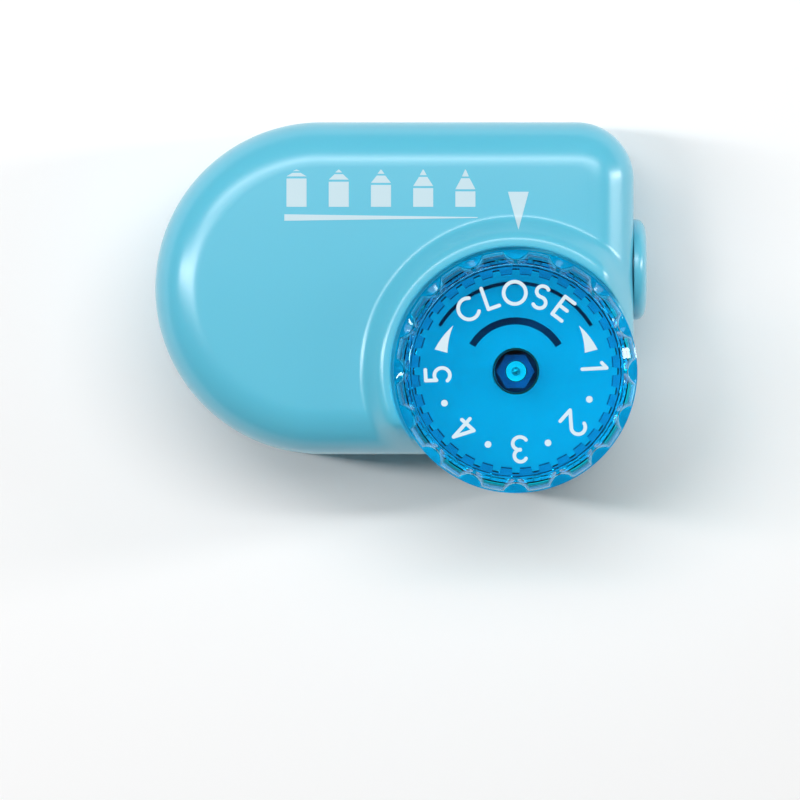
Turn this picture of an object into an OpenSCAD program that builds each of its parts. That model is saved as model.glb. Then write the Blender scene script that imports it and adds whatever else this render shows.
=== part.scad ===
// Pocket pencil sharpener with a turning dial that sets how sharp the point becomes.
// A D-shaped casing lies on its back: the round end holds the shavings, the pencil
// enters from the right, and the dial stands out of the lower right of the front.
// Origin: the middle of the overall width and height, on the back face. +Z is the front.

/* [Casing] */
// Width of the casing from the round end to the inlet side
case_w = 67.15; // [66:0.05:68]
// Radius of the round end, half the height of the casing
end_r = 23.3; // [23:0.1:23.6]
// Thickness from the back face to the flat front face
case_t = 23.6; // [23.4:0.1:24]
// Rounding of the front edge
edge_r = 6.5; // [6:0.1:6.8]
// Rounding of the back edge
back_r = 4.5; // [4:0.1:5]
// Radius of the corner above the inlet, seen from the front
corner_r = 8; // [7.6:0.1:9]
// Wall thickness of both shells
wall = 1.6; // [1.4:0.1:1.7]

/* [Dial] */
// Radius of the dial at its foot
dial_r = 17; // [16.8:0.1:17.2]
// Height of the top of the dial above the back face
dial_top = 31; // [30.6:0.1:32]
// How far the dial hangs below the casing's straight lower edge
dial_drop = 5.4; // [5.2:0.1:5.6]
// Radius of the round housing under the dial
housing_r = 16.6; // [16.4:0.05:16.65]
// Radius of the dial's hub
hub_r = 2.95; // [2.9:0.05:3]
// Number of finger flutes, and half the number of inner click teeth
flutes = 16; // [12:1:18]
// Full turn of the dial, from closed to the sharpest point
dial_travel = 270; // [240:5:280]
// Height of the collar that stands round the dial above the front face
collar_h = 2.7; // [2.2:0.1:3]

/* [Sharpening] */
// Height of the pencil axis above the middle of the overall height
pencil_y = 5.4; // [5.2:0.1:5.6]
// Radius of the pencil inlet
inlet_r = 4.15; // [4.05:0.05:4.2]
// How far the inlet boss stands out of the casing
inlet_out = 1.85; // [1.7:0.05:2]
// Half angle of the blade to the pencil when the dial is closed
blunt_deg = 21.7; // [21:0.1:22]
// How far the blade swings over the dial's full travel
carrier_travel = 11.1; // [10.8:0.1:11.4]
// Length of the blade
blade_l = 23; // [22:0.5:24]
// Width of the blade
blade_w = 7.2; // [7:0.1:7.4]

/* [Shavings door] */
// Radius of the door's round end
door_r = 14.2; // [13.8:0.1:14.4]
// Distance of the door's hinge line from the middle of the width
hinge_x = -2; // [-3:0.1:-1.8]
// Thickness of the door
door_t = 1.6; // [1.5:0.1:1.6]

/* [Hidden] */
$fn = 64;

// Working values shared by every piece
EDGE_STEPS = 7;
CUT = 1;
gap = 0.3;
run_gap = 0.05;
screw_grip = 0.05;

// Casing outline
total_w = case_w + inlet_out;
total_h = 2 * end_r + dial_drop;
x_left = -total_w / 2;
x_right = x_left + case_w;
y_top = total_h / 2;
y_bottom = y_top - 2 * end_r;
end_c = [x_left + end_r, y_top - end_r];
corner_c = [x_right - corner_r, y_top - corner_r];
dial_c = [x_right - housing_r - 0.05, dial_r - total_h / 2];
split_z = case_t / 2;
pencil_z = split_z;

// Heights through the dial, from the front down
dial_foot = case_t;
plate_t = 1.7;
floor_z = case_t - 0.4;
recess_r = dial_r + 0.35;
cavity_top = case_t - wall;
hub_boss_r = 4.6;
hub_boss_z = cavity_top - 2.4;
cam_top = hub_boss_z - 0.1;
cam_t = 2.6;
cam_bottom = cam_top - cam_t;
cam_r = 14.2;
washer_t = 0.6;
washer_r = 3.6;
key_r = 2.7;

// Blade carrier: the pivot, and the follower pin in the carrier's own axes
pivot = [11.6, -0.6];
pivot_r = 1;
arm_at = [-5, -4.8];
arm_r = 2.1;
follower_r = 1;
groove_depth = 1.9;
groove_side = 0.15;
blade_t = 0.5;
blade_face = 2.1;
blade_edge_z = pencil_z + 0.1;
bar_z = blade_edge_z - blade_w;
bar_top = blade_edge_z - 1.1;
bar_back = -1.6;
blade_end = 1;
blade_screw_x = -11;
blade_screw_z = bar_z + 2.7;
cam_rate = carrier_travel / dial_travel;

// Pencil guide and its fixings
guide_x = [5, 14.3, 16.2];
guide_y = 12;
guide_z = [6, 16.4];
guide_screws_at = [[6.5, 14.8], [13, 14.8]];

// Inlet and shutter
inlet_back = x_right - wall - 1.15;
inlet_neck_r = 5.9;
inlet_flange_r = 6.8;
inlet_head_r = 7.1;
shutter_at = [28.2, 12.2];
shutter_pin_r = 0.8;
shutter_barrel_r = 1.4;
shutter_t = 1.1;
shutter_z = [6.9, 15];
spring_z = [15.3, 17.1];
wire_r = 0.2;
spring_turns = 3;

// Door
door_recess = 0.25;
door_gap = 0.25;
hinge_z = 1.7;
barrel_r = hinge_z - door_recess;
hinge_pin_r = 0.6;
barrel_half = 10;
ear_l = 2;
frame_t = 3.3;
hinge_cover_z = 4.3;

// Case screws: shell bosses that they join
case_screws_at = [[25, 18.2], [1.5, 20.2], [-0.8, -15]];
boss_r = 2.3;
seat_z = 5.6;
boss_join_z = 8;
well_r = 2.1;
boss_hole_l = 9.5;

// Screws: radius, then length, head radius and head thickness of each kind
screw_r = 1;
clear_r = 1.2;
case_screw = [10, 1.9, 1.4];
guide_screw = [5, 2, 1.3];
blade_screw_size = [2.8, 2, 0.9];
dial_screw_r = 1.1;
dial_screw_size = [11.4, 2.2, 1.5];

// Posts that stand on the back wall, and the pins in them
guide_post_r = 2.2;
pivot_post_r = 2.8;
pivot_foot_z = 0.8;
pivot_pin_l = 15;
shutter_post_r = 2;
shutter_foot_z = 2;
shutter_pin_end = 2.6;

// Slots that free the click tongue in the recess floor: radius and width of each
click_slots = [[7.05, 1], [12.35, 0.5]];

// Points of a quarter turn of radius r, from angle a to angle b about [cx, cy]
function arc(cx, cy, r, a, b, n = 12) =
    [for (i = [0:n]) [cx + r * cos(a + (b - a) * i / n), cy + r * sin(a + (b - a) * i / n)]];

function turn(p, a) = [p[0] * cos(a) - p[1] * sin(a), p[0] * sin(a) + p[1] * cos(a)];

// Where the follower pin stands, in the cam's own axes, after the dial has turned by t
function follower_in_cam(t) =
    turn(pivot + turn(arm_at, cam_rate * t - blunt_deg) - dial_c, -t);

// ---- shapes shared by the shells ----

// Outline of the casing, drawn in by d: round end, lower edge to below the dial, a cut across
// to the inlet side that stays inside the dial's housing, and the corner
function outline(d) = concat(
    arc(end_c[0], end_c[1], end_r - d, 90, 270, 40),
    [[dial_c[0], y_bottom + d], [x_right - d, dial_c[1]]],
    arc(corner_c[0], corner_c[1], corner_r - d, 0, 90, 14));

// Solid skinned over rings of equal length, each an outline drawn in by its first value
// at the height of its second value, from the lowest up
module stacked(rings) {
    n = len(outline(0));
    last = len(rings) - 1;
    points = [for (r = rings) for (p = outline(r[0])) [p[0], p[1], r[1]]];
    walls = [for (j = [0:last - 1], i = [0:n - 1]) let (k = (i + 1) % n, low = j * n, up = low + n)
        each [[low + i, up + i, up + k], [low + i, up + k, low + k]]];
    polyhedron(points, concat(walls,
        [[for (i = [0:n - 1]) i]], [[for (i = [n - 1:-1:0]) last * n + i]]));
}

// Casing from height z up to the rounded front edge
module front_form(d, z, top, r) {
    stacked(concat([[d, z]],
        [for (i = [0:EDGE_STEPS]) let (a = 90 * i / EDGE_STEPS)
            [d + r * (1 - cos(a)), top - r * (1 - sin(a))]]));
}

// Casing from the rounded back edge up to height z
module back_form(d, z, bottom, r) {
    stacked(concat(
        [for (i = [EDGE_STEPS:-1:0]) let (a = 90 * i / EDGE_STEPS)
            [d + r * (1 - cos(a)), bottom + r * (1 - sin(a))]],
        [[d, z]]));
}

// Round housing under the dial, with a rounded foot
module housing_back(d, z, bottom, r) {
    translate(dial_c) rotate_extrude()
        polygon(concat(
            [[0, z], [0, bottom]],
            arc(housing_r - d - r, bottom + r, r, -90, 0),
            [[housing_r - d, z]]));
}

// Raised collar round the dial, sinking into the casing's rounded edges
module collar() {
    inner = recess_r - 1;
    crest = recess_r + 1;
    foot = recess_r + 4;
    base = case_t - edge_r;
    steps = 12;
    intersection() {
        translate(dial_c) rotate_extrude()
            polygon(concat(
                [[inner, case_t + collar_h], [crest, case_t + collar_h]],
                [for (i = [1:steps])
                    [crest + (foot - crest) * i / steps,
                     case_t + collar_h * (1 + cos(180 * i / steps)) / 2]],
                [[foot + 2, case_t - 3.2], [foot + 2, base], [inner, base]]));
        front_form(0.02, split_z + CUT, case_t + collar_h, edge_r);
    }
}

// Cylinder along the pencil axis
module along_pencil(r, x, l) {
    translate([x, pencil_y, pencil_z]) rotate([0, 90, 0]) cylinder(r = r, h = l);
}

// Curved slot through the dial recess floor, centred on the arrow's side
module floor_slot(r, w) {
    span = 118;
    translate([dial_c[0], dial_c[1], cavity_top - CUT])
        rotate([0, 0, 90 - span / 2]) rotate_extrude(angle = span)
            translate([r - w / 2, 0]) square([w, wall + 2 * CUT]);
}

// Pan-head screw pointing up: the head hangs below z
module screw(at, z, l, r, head_r, head_t) {
    translate([at[0], at[1], z]) difference() {
        union() {
            cylinder(r = r, h = l);
            translate([0, 0, -head_t]) cylinder(r = head_r, h = head_t);
        }
        for (a = [0, 90])
            rotate([0, 0, a]) translate([-head_r * 0.55, -0.2, -head_t - CUT])
                cube([head_r * 1.1, 0.4, CUT + head_t * 0.6]);
    }
}

// ---- casing ----

module front_shell() {
    click_nose = [12.1, 13.2];
    color("skyblue") difference() {
        union() {
            difference() {
                union() {
                    front_form(0, split_z, case_t, edge_r);
                    translate([dial_c[0], dial_c[1], split_z])
                        cylinder(r = housing_r, h = floor_z - split_z);
                    collar();
                }
                front_form(wall, split_z - CUT, cavity_top, edge_r - wall);
                translate([dial_c[0], dial_c[1], split_z - CUT])
                    cylinder(r = housing_r - wall, h = cavity_top - split_z + CUT);
                translate([dial_c[0], dial_c[1], floor_z])
                    cylinder(r = recess_r, h = collar_h + wall);
            }
            translate([dial_c[0], dial_c[1], hub_boss_z])
                cylinder(r = hub_boss_r, h = floor_z - hub_boss_z);
            for (p = case_screws_at)
                translate([p[0], p[1], boss_join_z + run_gap])
                    cylinder(r = boss_r, h = cavity_top + wall / 2 - boss_join_z - run_gap);
            translate([shutter_at[0], shutter_at[1], spring_z[1] + gap])
                cylinder(r = boss_r - 0.3, h = cavity_top + wall / 2 - spring_z[1] - gap);
            // nose of the click tongue, under the dial's teeth
            translate([dial_c[0], dial_c[1], floor_z - run_gap]) rotate([0, 0, 88])
                rotate_extrude(angle = 4)
                    translate([click_nose[0] - 0.9, 0]) square([click_nose[1] - click_nose[0] + 0.9, 2.6]);
        }
        translate([dial_c[0], dial_c[1], hub_boss_z - CUT])
            cylinder(r = hub_r + run_gap, h = floor_z - hub_boss_z + 2 * CUT);
        for (s = click_slots) floor_slot(s[0], s[1]);
        along_pencil(inlet_neck_r + 0.1, inlet_back - CUT, x_right - inlet_back + 2 * CUT);
        for (p = case_screws_at)
            translate([p[0], p[1], boss_join_z - CUT])
                cylinder(r = screw_r - screw_grip, h = boss_hole_l);
        translate([shutter_at[0], shutter_at[1], spring_z[1]])
            cylinder(r = shutter_pin_r, h = shutter_pin_end);
    }
}

// Outline of the door, grown by d, in the plane of the back
module door_outline(d) {
    intersection() {
        union() {
            translate(end_c) circle(r = door_r + d);
            translate([end_c[0], end_c[1] - door_r - d])
                square([hinge_x - end_c[0] + d + CUT, 2 * (door_r + d)]);
        }
        translate([end_c[0] - 2 * door_r, end_c[1] - 2 * door_r])
            square([hinge_x - end_c[0] + 2 * door_r + d, 4 * door_r]);
    }
}

// Block along the hinge line, from half length l, width [x0, x1] off the hinge, height [z0, z1]
module hinge_block(l, x0, x1, z0, z1) {
    translate([hinge_x + x0, end_c[1] - l, z0]) cube([x1 - x0, 2 * l, z1 - z0]);
}

module rear_shell() {
    pocket_half = barrel_half + gap + ear_l;
    ear_mid = barrel_half + gap + ear_l / 2 + 0.1;
    scoop = [3, 9, -1.9];
    color("skyblue") difference() {
        union() {
            difference() {
                union() {
                    difference() {
                        union() {
                            back_form(0, split_z, 0, back_r);
                            housing_back(0, split_z, 0, back_r);
                        }
                        back_form(wall, split_z + CUT, wall, back_r - wall);
                        housing_back(wall, split_z + CUT, wall, back_r - wall);
                    }
                    translate([0, 0, wall / 2]) linear_extrude(frame_t - wall / 2) door_outline(2.6);
                    hinge_block(pocket_half + 1, -1.2, 3.2, wall / 2, hinge_cover_z);
                }
                // seat of the door, its way through, and room for the hinge barrel
                translate([0, 0, -CUT]) linear_extrude(CUT + door_recess + door_t + 0.2)
                    door_outline(door_gap);
                translate([0, 0, wall]) linear_extrude(2 * frame_t) difference() {
                    door_outline(-1.2);
                    translate([hinge_x - 1.9, -end_r]) square([end_r, 3 * end_r]);
                }
                hinge_block(pocket_half, -2.2, 1.8, -2 * CUT, hinge_cover_z - 0.8);
            }
            for (s = [-1, 1])
                translate([hinge_x, end_c[1] + s * ear_mid, hinge_z]) {
                    rotate([90, 0, 0]) cylinder(r = barrel_r, h = ear_l + 0.2, center = true);
                    translate([-1, -ear_l / 2 - 0.1, 0])
                        cube([2, ear_l + 0.2, hinge_cover_z - 0.4 - hinge_z]);
                }
            for (p = case_screws_at)
                translate([p[0], p[1], wall / 2]) cylinder(r = boss_r + 0.9, h = boss_join_z - wall / 2);
            for (p = guide_screws_at)
                translate([p[0], p[1], wall / 2]) cylinder(r = guide_post_r, h = guide_z[0] - wall / 2);
            translate([pivot[0], pivot[1], wall / 2])
                cylinder(r = pivot_post_r, h = bar_z - gap - wall / 2);
            translate([shutter_at[0], shutter_at[1], wall / 2])
                cylinder(r = shutter_post_r, h = shutter_z[0] - gap - wall / 2);
        }
        for (s = [-1, 1])
            translate([hinge_x, end_c[1] + s * (ear_mid - 0.1), hinge_z])
                rotate([90, 0, 0]) cylinder(r = hinge_pin_r, h = ear_l + 0.02, center = true);
        translate([end_c[0] - door_r - 0.6, end_c[1] + scoop[1] / 2, scoop[2]])
            rotate([90, 0, 0]) cylinder(r = scoop[0], h = scoop[1]);
        along_pencil(inlet_neck_r + 0.1, inlet_back - CUT, x_right - inlet_back + 2 * CUT);
        for (p = case_screws_at) {
            translate([p[0], p[1], -CUT]) cylinder(r = well_r, h = CUT + seat_z);
            translate([p[0], p[1], 0]) cylinder(r = clear_r, h = boss_join_z + CUT);
        }
        for (p = guide_screws_at)
            translate([p[0], p[1], shutter_foot_z])
                cylinder(r = screw_r - screw_grip, h = guide_z[0]);
        translate([pivot[0], pivot[1], pivot_foot_z]) cylinder(r = pivot_r, h = bar_z);
        translate([shutter_at[0], shutter_at[1], shutter_foot_z])
            cylinder(r = shutter_pin_r, h = shutter_z[0]);
    }
}

module inlet_collar() {
    head = x_right + run_gap;
    face = x_right + inlet_out;
    lip = 0.35;
    color("skyblue") translate([0, pencil_y, pencil_z]) rotate([0, 90, 0]) rotate_extrude()
        polygon(concat(
            [[inlet_r, inlet_back], [inlet_flange_r, inlet_back],
             [inlet_flange_r, x_right - wall - 0.3], [inlet_neck_r, x_right - wall - run_gap],
             [inlet_neck_r, head], [inlet_head_r, head]],
            arc(inlet_head_r - 0.5, head + 0.45, 0.5, 0, 55, 6),
            arc(inlet_r + lip, face - 5.5, 5.5, 64, 90, 8),
            arc(inlet_r + lip, face - lip, lip, 90, 180, 6)));
}

module guide_block() {
    top_y = 6.4;
    ring_y = -0.4;
    ring_z = guide_z[0] + 0.6;
    tab_y = 9;
    tab_w = 8.5;
    tab_x = guide_x[0] - 1.5;
    color("gainsboro") difference() {
        union() {
            translate([guide_x[0], top_y, guide_z[0]])
                cube([guide_x[2] - guide_x[0], guide_y - top_y, guide_z[1] - guide_z[0]]);
            translate([guide_x[1], ring_y, ring_z])
                cube([guide_x[2] - guide_x[1], guide_y - ring_y, guide_z[1] - ring_z]);
            translate([tab_x, tab_y, guide_z[0]]) cube([guide_x[2] - tab_x, tab_w, wall]);
        }
        along_pencil(inlet_r + run_gap, guide_x[0] - CUT, guide_x[2] - guide_x[0] + 2 * CUT);
        for (p = guide_screws_at)
            translate([p[0], p[1], guide_z[0] - CUT]) cylinder(r = clear_r, h = wall + 2 * CUT);
        for (p = guide_screws_at)
            translate([p[0], p[1], guide_z[0] + wall]) cylinder(r = guide_post_r, h = guide_z[1]);
    }
}

module guide_screws() {
    color("silver") for (p = guide_screws_at)
        translate([0, 0, 2 * (guide_z[0] + wall)]) mirror([0, 0, 1])
            screw(p, guide_z[0] + wall, guide_screw[0], screw_r, guide_screw[1], guide_screw[2]);
}

module carrier_pivot_pin() {
    color("silver") translate([pivot[0], pivot[1], pivot_foot_z]) cylinder(r = pivot_r, h = pivot_pin_l);
}

module shutter_pin() {
    color("silver") translate([shutter_at[0], shutter_at[1], shutter_foot_z])
        cylinder(r = shutter_pin_r, h = spring_z[1] + shutter_pin_end - shutter_foot_z);
}

module door_hinge_pin() {
    l = 2 * (barrel_half + gap + ear_l);
    color("silver") translate([hinge_x, end_c[1], hinge_z])
        rotate([90, 0, 0]) cylinder(r = hinge_pin_r, h = l, center = true);
}

module case_screws() {
    color("silver") for (p = case_screws_at)
        screw(p, seat_z, case_screw[0], screw_r, case_screw[1], case_screw[2]);
}

// ---- dial ----

module dial_cap() {
    face_r = 15;
    shoulder_z = dial_top - 1.7;
    ledge_z = dial_foot + 2;
    skirt_t = 1.5;
    teeth_r = [13.35, 14.1, 14.8];
    teeth_l = 3.6;
    tooth_a = 360 / (2 * flutes) * 0.62;
    flute_r = 3;
    tip_r = 1.5;
    tip_z = 26.5;
    join = 0.01;
    under = dial_top - plate_t;
    color("deepskyblue", 0.75) translate(dial_c) difference() {
        union() {
            // cap with a sloping shoulder, hollow below
            rotate_extrude() polygon([
                [0, under], [dial_r - skirt_t - 0.4, under], [dial_r - skirt_t, dial_foot],
                [dial_r, dial_foot], [dial_r, ledge_z], [dial_r - 0.2, shoulder_z],
                [face_r + 0.6, dial_top - 0.35], [face_r, dial_top], [0, dial_top]]);
            // ring of click teeth
            translate([0, 0, under - teeth_l]) rotate_extrude()
                translate([teeth_r[1], 0]) square([teeth_r[2] - teeth_r[1], teeth_l + 0.2]);
            for (i = [0 : 2 * flutes - 1])
                translate([0, 0, under - teeth_l])
                    rotate([0, 0, 90 + (i + 0.5) * 180 / flutes - tooth_a / 2])
                        rotate_extrude(angle = tooth_a)
                            translate([teeth_r[0], 0])
                                square([teeth_r[1] - teeth_r[0] + 0.1, teeth_l + 0.2]);
            // hub, round in the casing's bore and six-sided in the cam disc
            translate([0, 0, cam_top]) cylinder(r = hub_r, h = under - cam_top + 0.2);
            translate([0, 0, cam_bottom + 0.1]) cylinder(r = key_r, h = cam_t, $fn = 6);
        }
        for (i = [0 : flutes - 1])
            rotate([0, 0, 90 + i * 360 / flutes])
                translate([dial_r + flute_r - 1.15, 0, ledge_z]) cylinder(r = flute_r, h = dial_top);
        translate([0, 0, cam_bottom - CUT]) cylinder(r = dial_screw_r - screw_grip, h = tip_z - cam_bottom + CUT);
        translate([0, 0, tip_z - join]) cylinder(r = tip_r, h = under - tip_z);
    }
}

module cam_disc() {
    w = follower_r + groove_side;
    step = dial_travel / 36;
    path = [for (i = [0:36]) follower_in_cam(i * step)];
    color("dodgerblue") translate([dial_c[0], dial_c[1], cam_bottom]) difference() {
        cylinder(r = cam_r, h = cam_t);
        translate([0, 0, -CUT]) {
            cylinder(r = key_r + run_gap, h = cam_t + 2 * CUT, $fn = 6);
            // spiral groove for the follower pin
            linear_extrude(CUT + groove_depth) union() {
                polygon(concat(
                    [for (i = [0:36]) path[i] * (1 + w / norm(path[i]))],
                    [for (i = [36:-1:0]) path[i] * (1 - w / norm(path[i]))]));
                translate(path[0]) circle(r = w);
                translate(path[36]) circle(r = w);
            }
        }
    }
}

module dial_washer() {
    color("silver") translate([dial_c[0], dial_c[1], cam_bottom - washer_t]) difference() {
        cylinder(r = washer_r, h = washer_t - 0.02);
        translate([0, 0, -CUT]) cylinder(r = clear_r + run_gap, h = washer_t + 2 * CUT);
    }
}

module dial_screw() {
    color("silver")
        screw(dial_c, cam_bottom - washer_t, dial_screw_size[0], dial_screw_r,
              dial_screw_size[1], dial_screw_size[2]);
}

// ---- blade carrier, drawn in its own axes about the pivot ----

module carrier_place() {
    translate(pivot) rotate([0, 0, -blunt_deg]) children();
}

module blade_carrier() {
    bar_l = blade_l - 1;
    top_z = cam_bottom - gap - 0.1;
    color("dimgray") carrier_place() difference() {
        union() {
            translate([blade_end - blade_l, bar_back, bar_z])
                cube([bar_l, blade_face - blade_t - bar_back, bar_top - bar_z]);
            translate([0, 0, bar_z]) cylinder(r = arm_r, h = top_z - 1 - bar_z);
            translate([arm_at[0], arm_at[1], bar_z + 3]) cylinder(r = arm_r, h = top_z - bar_z - 3);
            // web between the pivot, the bar and the arm
            translate([0, 0, bar_z + 3]) linear_extrude(bar_top - bar_z - 3)
                polygon([[0, -1.9], [arm_at[0] + 1.2, arm_at[1] - 1.6], [arm_at[0] - 1.9, arm_at[1]],
                         [arm_at[0] - 2.2, bar_back + 0.1], [0, bar_back + 0.1]]);
        }
        // flat on the pivot barrel for the end of the blade
        translate([-arm_r, blade_face - blade_t, bar_z - CUT]) cube([2 * arm_r, blade_face, 3 * blade_w]);
        translate([0, 0, bar_z - CUT]) cylinder(r = pivot_r + run_gap, h = 3 * blade_w);
        translate([arm_at[0], arm_at[1], bar_top - 2]) cylinder(r = follower_r, h = 3 * blade_w);
        translate([blade_screw_x, blade_face + CUT, blade_screw_z])
            rotate([90, 0, 0]) cylinder(r = screw_r - screw_grip, h = blade_screw_size[0] + CUT + 0.1);
    }
}

module blade() {
    edge = 1.2;
    color("lightgray") carrier_place() difference() {
        translate([blade_end - blade_l, blade_face - blade_t, 0])
            rotate([90, 0, 90]) linear_extrude(blade_l)
                polygon([[0, bar_z], [blade_t, bar_z], [blade_t, blade_edge_z],
                         [0.42, blade_edge_z], [0, blade_edge_z - edge]]);
        translate([blade_screw_x, blade_face + CUT, blade_screw_z])
            rotate([90, 0, 0]) cylinder(r = screw_r + gap, h = 2 * CUT + blade_t);
    }
}

module blade_screw() {
    color("silver") carrier_place()
        translate([blade_screw_x, blade_face, blade_screw_z]) rotate([90, 0, 0])
            screw([0, 0], 0, blade_screw_size[0], screw_r, blade_screw_size[1], blade_screw_size[2]);
}

module follower_pin() {
    color("silver") carrier_place() translate([arm_at[0], arm_at[1], bar_top - 2])
        cylinder(r = follower_r, h = cam_bottom + groove_depth - 0.2 - bar_top + 2);
}

// ---- shutter behind the inlet ----

module inlet_shutter() {
    plate_x = x_right - wall - 1.15 - gap - shutter_t - shutter_at[0];
    plate_l = shutter_at[1] - pencil_y + inlet_r + 0.35;
    reach_z = [pencil_z - inlet_r - 0.45, pencil_z + inlet_r + 0.45];
    color("white") translate(shutter_at) difference() {
        union() {
            translate([0, 0, shutter_z[0]]) cylinder(r = shutter_barrel_r, h = shutter_z[1] - shutter_z[0]);
            translate([plate_x, -plate_l, reach_z[0]])
                cube([shutter_t, plate_l - 1.9, reach_z[1] - reach_z[0]]);
            translate([plate_x, -2.2, shutter_z[0]]) cube([shutter_t, 2.2, shutter_z[1] - shutter_z[0]]);
        }
        translate([0, 0, shutter_z[0] - CUT])
            cylinder(r = shutter_pin_r + run_gap, h = shutter_z[1] - shutter_z[0] + 2 * CUT);
    }
}

// Wound wire: a helix about the pin with a straight leg at each end
module shutter_spring() {
    coil_r = 1.15;
    rings = 60;
    sides = 8;
    leg = 1.8;
    pitch = (spring_z[1] - spring_z[0] - 2 * wire_r) / (spring_turns + 0.5);
    last = 360 * (spring_turns + 0.5);
    low = spring_z[0] + wire_r;
    path = concat(
        [[coil_r, -leg, low]],
        [for (i = [0:rings]) let (a = last * i / rings) [coil_r * cos(a), coil_r * sin(a), low + pitch * a / 360]],
        [[-coil_r, -leg, low + pitch * last / 360]]);
    n = len(path);
    function unit(v) = v / norm(v);
    points = [for (i = [0:n - 1])
        let (t = unit(path[min(i + 1, n - 1)] - path[max(i - 1, 0)]),
             u = unit(cross(t, [0, 0, 1])),
             v = cross(t, u))
        for (k = [0:sides - 1]) path[i] + wire_r * (cos(360 * k / sides) * u + sin(360 * k / sides) * v)];
    sides_of = [for (i = [0:n - 2], k = [0:sides - 1]) let (m = (k + 1) % sides)
        [i * sides + k, (i + 1) * sides + k, (i + 1) * sides + m, i * sides + m]];
    color("silver") translate(shutter_at)
        polyhedron(points, concat(sides_of,
            [[for (k = [0:sides - 1]) k], [for (k = [sides - 1:-1:0]) (n - 1) * sides + k]]));
}

// ---- shavings door ----

module shavings_door() {
    notch = barrel_half + 0.15;
    color("skyblue") difference() {
        union() {
            translate([0, 0, door_recess]) linear_extrude(door_t) difference() {
                door_outline(0);
                for (s = [-1, 1])
                    translate([hinge_x - 1.8, end_c[1] + (s > 0 ? notch : -notch - end_r)])
                        square([end_r, end_r]);
            }
            translate([hinge_x, end_c[1], hinge_z]) rotate([90, 0, 0])
                cylinder(r = barrel_r, h = 2 * barrel_half, center = true);
            // catch ridge on the edge opposite the hinge
            translate([end_c[0] - door_r + 0.15, end_c[1], door_recess + door_t / 2])
                rotate([90, 0, 0]) cylinder(r = 0.3, h = 2.4, center = true);
        }
        translate([hinge_x, end_c[1], hinge_z]) rotate([90, 0, 0])
            cylinder(r = hinge_pin_r + run_gap + 0.02, h = 3 * barrel_half, center = true);
    }
}

front_shell();
rear_shell();
inlet_collar();
guide_block();
guide_screws();
carrier_pivot_pin();
shutter_pin();
door_hinge_pin();
case_screws();
dial_cap();
cam_disc();
dial_washer();
dial_screw();
blade_carrier();
blade();
blade_screw();
follower_pin();
inlet_shutter();
shutter_spring();
shavings_door();
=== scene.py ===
"""Looks of a pocket pencil sharpener with a see-through dial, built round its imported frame.

Every class is one sub-assembly: its sizes are dataclass fields in millimetres, in the frame's own
axes, and its methods build the meshes and dress them. Surfaces are worked out as numpy grids.
"""

import logging
import math
from dataclasses import dataclass, field, fields
from enum import Enum
from typing import Callable, Sequence

import bmesh
import bpy
import numpy as np
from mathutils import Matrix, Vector


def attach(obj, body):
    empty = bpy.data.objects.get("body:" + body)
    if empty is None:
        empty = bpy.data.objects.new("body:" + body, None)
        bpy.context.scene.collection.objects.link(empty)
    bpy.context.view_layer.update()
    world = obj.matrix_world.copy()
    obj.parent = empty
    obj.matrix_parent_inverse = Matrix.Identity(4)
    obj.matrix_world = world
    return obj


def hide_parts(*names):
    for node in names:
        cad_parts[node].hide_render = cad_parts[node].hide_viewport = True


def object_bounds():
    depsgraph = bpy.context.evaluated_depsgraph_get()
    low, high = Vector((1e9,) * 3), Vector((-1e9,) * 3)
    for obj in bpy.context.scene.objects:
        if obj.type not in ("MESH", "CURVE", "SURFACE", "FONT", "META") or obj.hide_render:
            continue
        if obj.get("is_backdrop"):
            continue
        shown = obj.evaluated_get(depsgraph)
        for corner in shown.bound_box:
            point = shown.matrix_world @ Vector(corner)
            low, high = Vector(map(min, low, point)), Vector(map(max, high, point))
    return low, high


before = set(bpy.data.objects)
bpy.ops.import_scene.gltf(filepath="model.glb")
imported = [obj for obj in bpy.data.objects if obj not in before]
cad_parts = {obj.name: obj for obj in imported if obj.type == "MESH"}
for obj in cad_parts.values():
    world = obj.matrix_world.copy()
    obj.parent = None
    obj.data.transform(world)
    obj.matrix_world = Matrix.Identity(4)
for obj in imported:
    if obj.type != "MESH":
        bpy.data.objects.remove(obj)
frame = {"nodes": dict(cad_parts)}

LOG = logging.getLogger("sharpener")
MM = 0.001
FULL = 2 * math.pi
TINY = 1e-9
SHELL_FOLD, FINE_FOLD, PRINT_FOLD = 40, 25, 60  # degrees past which an edge is shaded sharp

Array = np.ndarray
Colour = tuple[float, float, float]
Place = Callable[[Array], Array]
Piece = bpy.types.Object
Material = bpy.types.Material
Tree = bpy.types.NodeTree
Node = bpy.types.Node
Socket = bpy.types.NodeSocket


class Body(str, Enum):
    """The rigid bodies that the new pieces ride on."""

    CASING = "casing"
    DIAL = "dial"


class Slot(str, Enum):
    """The record's material slots, named alongside the new pieces."""

    CASING = "casing"
    DIAL = "dial"
    STEEL = "steel"
    PRINT = "print"


def linear(*srgb: int) -> Colour:
    """Turn 0 to 255 display values into linear ones by the sRGB curve.

    Args:
        srgb: red, green and blue display values.

    Returns:
        The linear colour.
    """
    share = np.array(srgb) / 255
    out = np.where(share <= 0.04045, share / 12.92, ((share + 0.055) / 1.055) ** 2.4)
    return tuple(float(v) for v in out)


# ---------------------------------------------------------------- grids and meshes


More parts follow.
